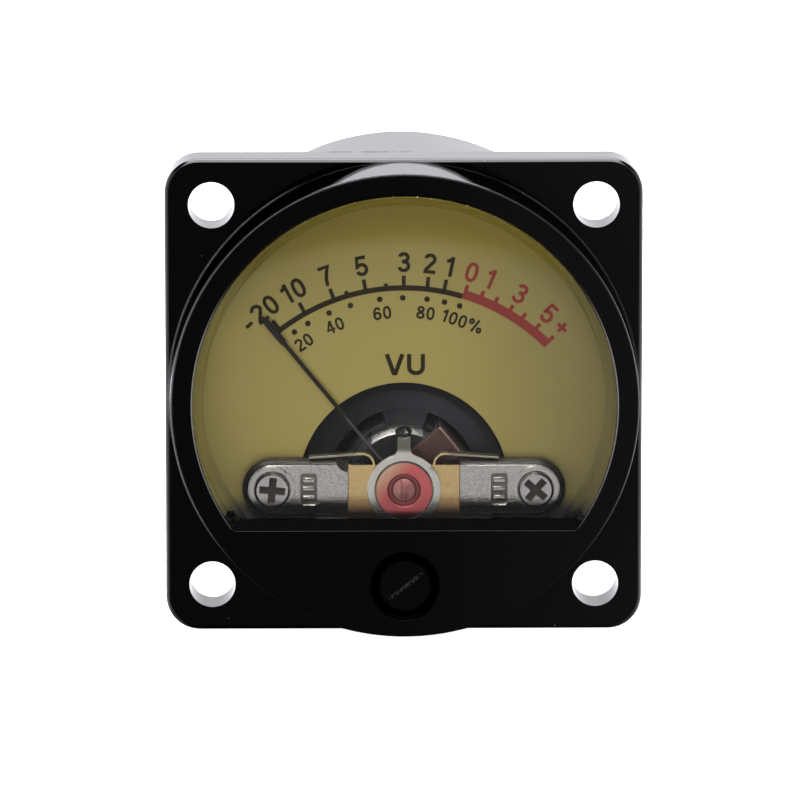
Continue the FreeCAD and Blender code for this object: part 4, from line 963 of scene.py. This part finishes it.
class METER_OT_rear_parts(bpy.types.Operator):
    """Finish terminals, lamps, board and cover screws"""
    bl_idname = "meter.rear_parts"
    bl_label = "Rear parts"

    def execute(self, context):
        dress(["meter_terminals", "lamp_terminals"],
              finish("tinned_brass", (0.42, 0.38, 0.3), 0.3, 1.0, grain=0.3, worn=(0.5, 0.4, 0.22)))
        dress(["cover_screws"], finish("zinc_plate", (0.5, 0.5, 0.5), 0.3, 1.0))
        dress(["lamp_board"], finish("phenolic_board", (0.2, 0.12, 0.05), 0.5))
        dress(["diffuser"], finish("milky_diffuser", (0.75, 0.74, 0.7), 0.5))
        dress(["lamps"], finish("lamp_glass", (0.8, 0.78, 0.7), 0.1))
        soften(["meter_terminals", "lamp_terminals", "cover_screws"], REAR_EDGE_WIDTH)
        return {"FINISHED"}


# ---- Studio; ranges of the world light are parts of a unit vector, from dark to bright ----
REAR_EDGE = (-0.1, 0.35)
REAR_RISE = (0.165, 0.24)
REAR_GAIN = 1.35               # the rear wall is brighter higher up
SIDE_EDGE = (0.35, 0.85)
WALL_FOOT = (-0.75, -0.45)
WALL_TOP = (0.5, 0.36)
SKY_RISE = (0.12, 0.6)
TABLE_TOP = (-0.03, -0.08)
TABLE_FOOT = (-0.5, -0.4)
TABLE_NEAR = (-0.3, -0.6)
OVERHEAD_TILT = math.radians(75)
OVERHEAD_EDGE = (0.5, 0.68)    # cosines from the softbox's middle
OVERHEAD_SIDE = (0.46, 0.32)
PANEL_SIDE = (0.2, 0.5)
PANEL_NEAR = (-0.1, -0.3)
PANEL_TOP = (0.6, 0.3)
STRIP_SIDE = (0.7, 0.95)
STRIP_NEAR = (0.3, 0.1)
STRIP_TOP = (0.8, -0.1)
FILL_TILT = math.radians(-20)
FILL_EDGE = (0.8, 0.95)        # cosines from the fill light's middle
WHITE = (1.0, 1.0, 1.0)


def lit(tree, power, *limits):
    """A light, held to the places that every limit lets through."""
    return fold(tree, "MULTIPLY", power, *(ramp(tree, *limit) for limit in limits))


def sky_light(studio):
    """World light: bright above, behind and to the left, dim in front; plain white to the camera."""
    world = bpy.data.worlds.new("studio")
    world.use_nodes = True
    tree = world.node_tree
    bpy.context.scene.world = world
    outward = node(tree, "ShaderNodeTexCoord").outputs["Generated"]
    x, y, z = fed(tree, "ShaderNodeSeparateXYZ", outward).outputs
    to_left = math_node(tree, "MULTIPLY", x, -1.0)
    aside, ahead = math_node(tree, "ABSOLUTE", x), math_node(tree, "ABSOLUTE", y)
    near_top, below_front = (vector_node(tree, "DOT_PRODUCT", outward, direction(0.0, tilt))
                             for tilt in (OVERHEAD_TILT, FILL_TILT))
    path = node(tree, "ShaderNodeLightPath").outputs
    rear = lit(tree, studio.rear, (y, *REAR_EDGE), (z, *REAR_RISE, 1.0, REAR_GAIN))
    left = lit(tree, studio.left, (to_left, *SIDE_EDGE))
    right = lit(tree, studio.right, (x, *SIDE_EDGE))
    table = lit(tree, studio.table, (z, *TABLE_TOP), (z, *TABLE_FOOT), (y, *TABLE_NEAR))
    around = fold(tree, "MAXIMUM", rear, left, right, studio.front, table)
    level = lit(tree, around, (z, *WALL_FOOT), (z, *WALL_TOP))
    above = lit(tree, studio.sky, (z, *SKY_RISE))
    overhead = lit(tree, studio.overhead, (aside, *OVERHEAD_SIDE), (near_top, *OVERHEAD_EDGE))
    panels = lit(tree, studio.panels, (aside, *PANEL_SIDE), (y, *PANEL_NEAR), (z, *PANEL_TOP))
    strips = lit(tree, studio.strips, (aside, *STRIP_SIDE), (ahead, *STRIP_NEAR), (z, *STRIP_TOP))
    outside = math_node(tree, "SUBTRACT", path["Is Glossy Ray"], path["Is Transmission Ray"])
    mirrored = math_node(tree, "MULTIPLY", outside, fold(tree, "MAXIMUM", overhead, panels, strips))
    fill = math_node(tree, "MULTIPLY", path["Is Diffuse Ray"],
                     lit(tree, studio.fill, (below_front, *FILL_EDGE)))
    light = math_node(tree, "ADD", fold(tree, "MAXIMUM", level, above, mirrored), fill)
    camera = path["Is Camera Ray"]
    feed_all(tree, tree.nodes["Background"],
             {"Color": mixed(tree, "RGBA", camera, studio.wall_tint, WHITE),
              "Strength": math_node(tree, "MAXIMUM", light, camera)})


FLOOR_HALF, FLOOR_RUN, FLOOR_CURVE = 900 * MM, 700 * MM, 300 * MM
FLOOR_BEND = math.radians(80)
FLOOR_STEPS = 16
FLOOR_ROUGH = 0.9


def pale_floor(studio):
    """A pale sheet under the meter that curves up far behind it."""
    bm = bmesh.new()
    verts = [bm.verts.new((-FLOOR_HALF, y, FLOOR_Z)) for y in (-FLOOR_RUN, FLOOR_RUN)]
    bm.edges.new(verts)
    bmesh.ops.spin(bm, geom=[verts[1]], cent=(-FLOOR_HALF, FLOOR_RUN, FLOOR_Z + FLOOR_CURVE),
                   axis=(1, 0, 0), angle=FLOOR_BEND, steps=FLOOR_STEPS, use_merge=False)
    shift(bm, bmesh.ops.extrude_edge_only(bm, edges=bm.edges[:]), (2 * FLOOR_HALF, 0, 0))
    floor = new_object("pale_floor", finished_mesh(bm, "pale_floor", True))
    material, tree, shader = blank_material("floor_paper")
    feed_all(tree, shader, {"Base Color": (studio.floor,) * 3, "Roughness": FLOOR_ROUGH,
                            "Emission Color": WHITE, "Emission Strength": studio.floor_glow})
    floor.data.materials.append(material)
    for ray in ("visible_glossy", "visible_transmission", "visible_diffuse"):
        setattr(floor, ray, False)


def direction(azimuth, elevation):
    """Unit vector from the meter towards a place round it."""
    return Vector((math.sin(azimuth) * math.cos(elevation), -math.cos(azimuth) * math.cos(elevation),
                   math.sin(elevation)))


def face_to(thing, place, target):
    thing.location = place
    thing.rotation_euler = (target - place).to_track_quat("-Z", "Y").to_euler()


LAMP_DISTANCE = 500 * MM
SENSOR_MM = 36
CLIP_NEAR, CLIP_FAR = 0.01, 10     # metres


def soft_box(name, power, size, azimuth, elevation):
    lamp = bpy.data.lights.new(name, "AREA")
    lamp.energy = power
    lamp.size = size
    box = new_object(name, lamp)
    face_to(box, direction(azimuth, elevation) * LAMP_DISTANCE, Vector())
    box.visible_camera = False
    return box


class METER_OT_studio(bpy.types.Operator):
    """Set up floor, light and camera"""
    bl_idname = "meter.studio"
    bl_label = "Studio"

    def execute(self, context):
        studio = context.scene.meter_studio
        context.scene.view_settings.view_transform = "Standard"
        sky_light(studio)
        pale_floor(studio)
        soft_box("key_light", studio.key_power, studio.key_size, studio.key_azimuth,
                 studio.key_elevation)
        glint = soft_box("glint_light", studio.glint_power, studio.key_size, studio.glint_azimuth,
                         studio.glint_elevation)
        glint.visible_diffuse = False
        lens = bpy.data.cameras.new("camera")
        lens.lens = studio.focal_mm
        lens.sensor_width = SENSOR_MM
        lens.clip_start, lens.clip_end = CLIP_NEAR, CLIP_FAR
        camera = new_object("camera", lens)
        middle = Vector((0, FLANGE_Y, 0))
        place = middle + direction(studio.azimuth, studio.elevation) * studio.distance
        face_to(camera, place, middle + Vector((studio.aim_x, 0, studio.aim_z)))
        context.scene.camera = camera
        return {"FINISHED"}


OPERATORS = [METER_OT_case, METER_OT_window, METER_OT_dial, METER_OT_movement, METER_OT_pointer,
             METER_OT_zero_parts, METER_OT_rear_parts, METER_OT_studio]


class METER_PT_panel(bpy.types.Panel):
    """Settings and pieces of the meter"""
    bl_idname = "METER_PT_panel"
    bl_label = "Panel level meter"
    bl_space_type = "VIEW_3D"
    bl_region_type = "UI"
    bl_category = "Meter"

    def draw(self, context):
        for group in GROUPS:
            box = self.layout.box()
            settings = getattr(context.scene, group)
            for name in settings.__annotations__:
                box.prop(settings, name)
        for operator in OPERATORS:
            self.layout.operator(operator.bl_idname)


CLASSES = [*GROUPS.values(), *OPERATORS, METER_PT_panel]


def register():
    for kind in CLASSES:
        bpy.utils.register_class(kind)
    for name, kind in GROUPS.items():
        setattr(bpy.types.Scene, name, PointerProperty(type=kind))


def unregister():
    for name in GROUPS:
        delattr(bpy.types.Scene, name)
    for kind in reversed(CLASSES):
        bpy.utils.unregister_class(kind)


def main():
    register()
    for operator in OPERATORS:
        group, name = operator.bl_idname.split(".")
        getattr(getattr(bpy.ops, group), name)()


if __name__ == "__main__":
    main()
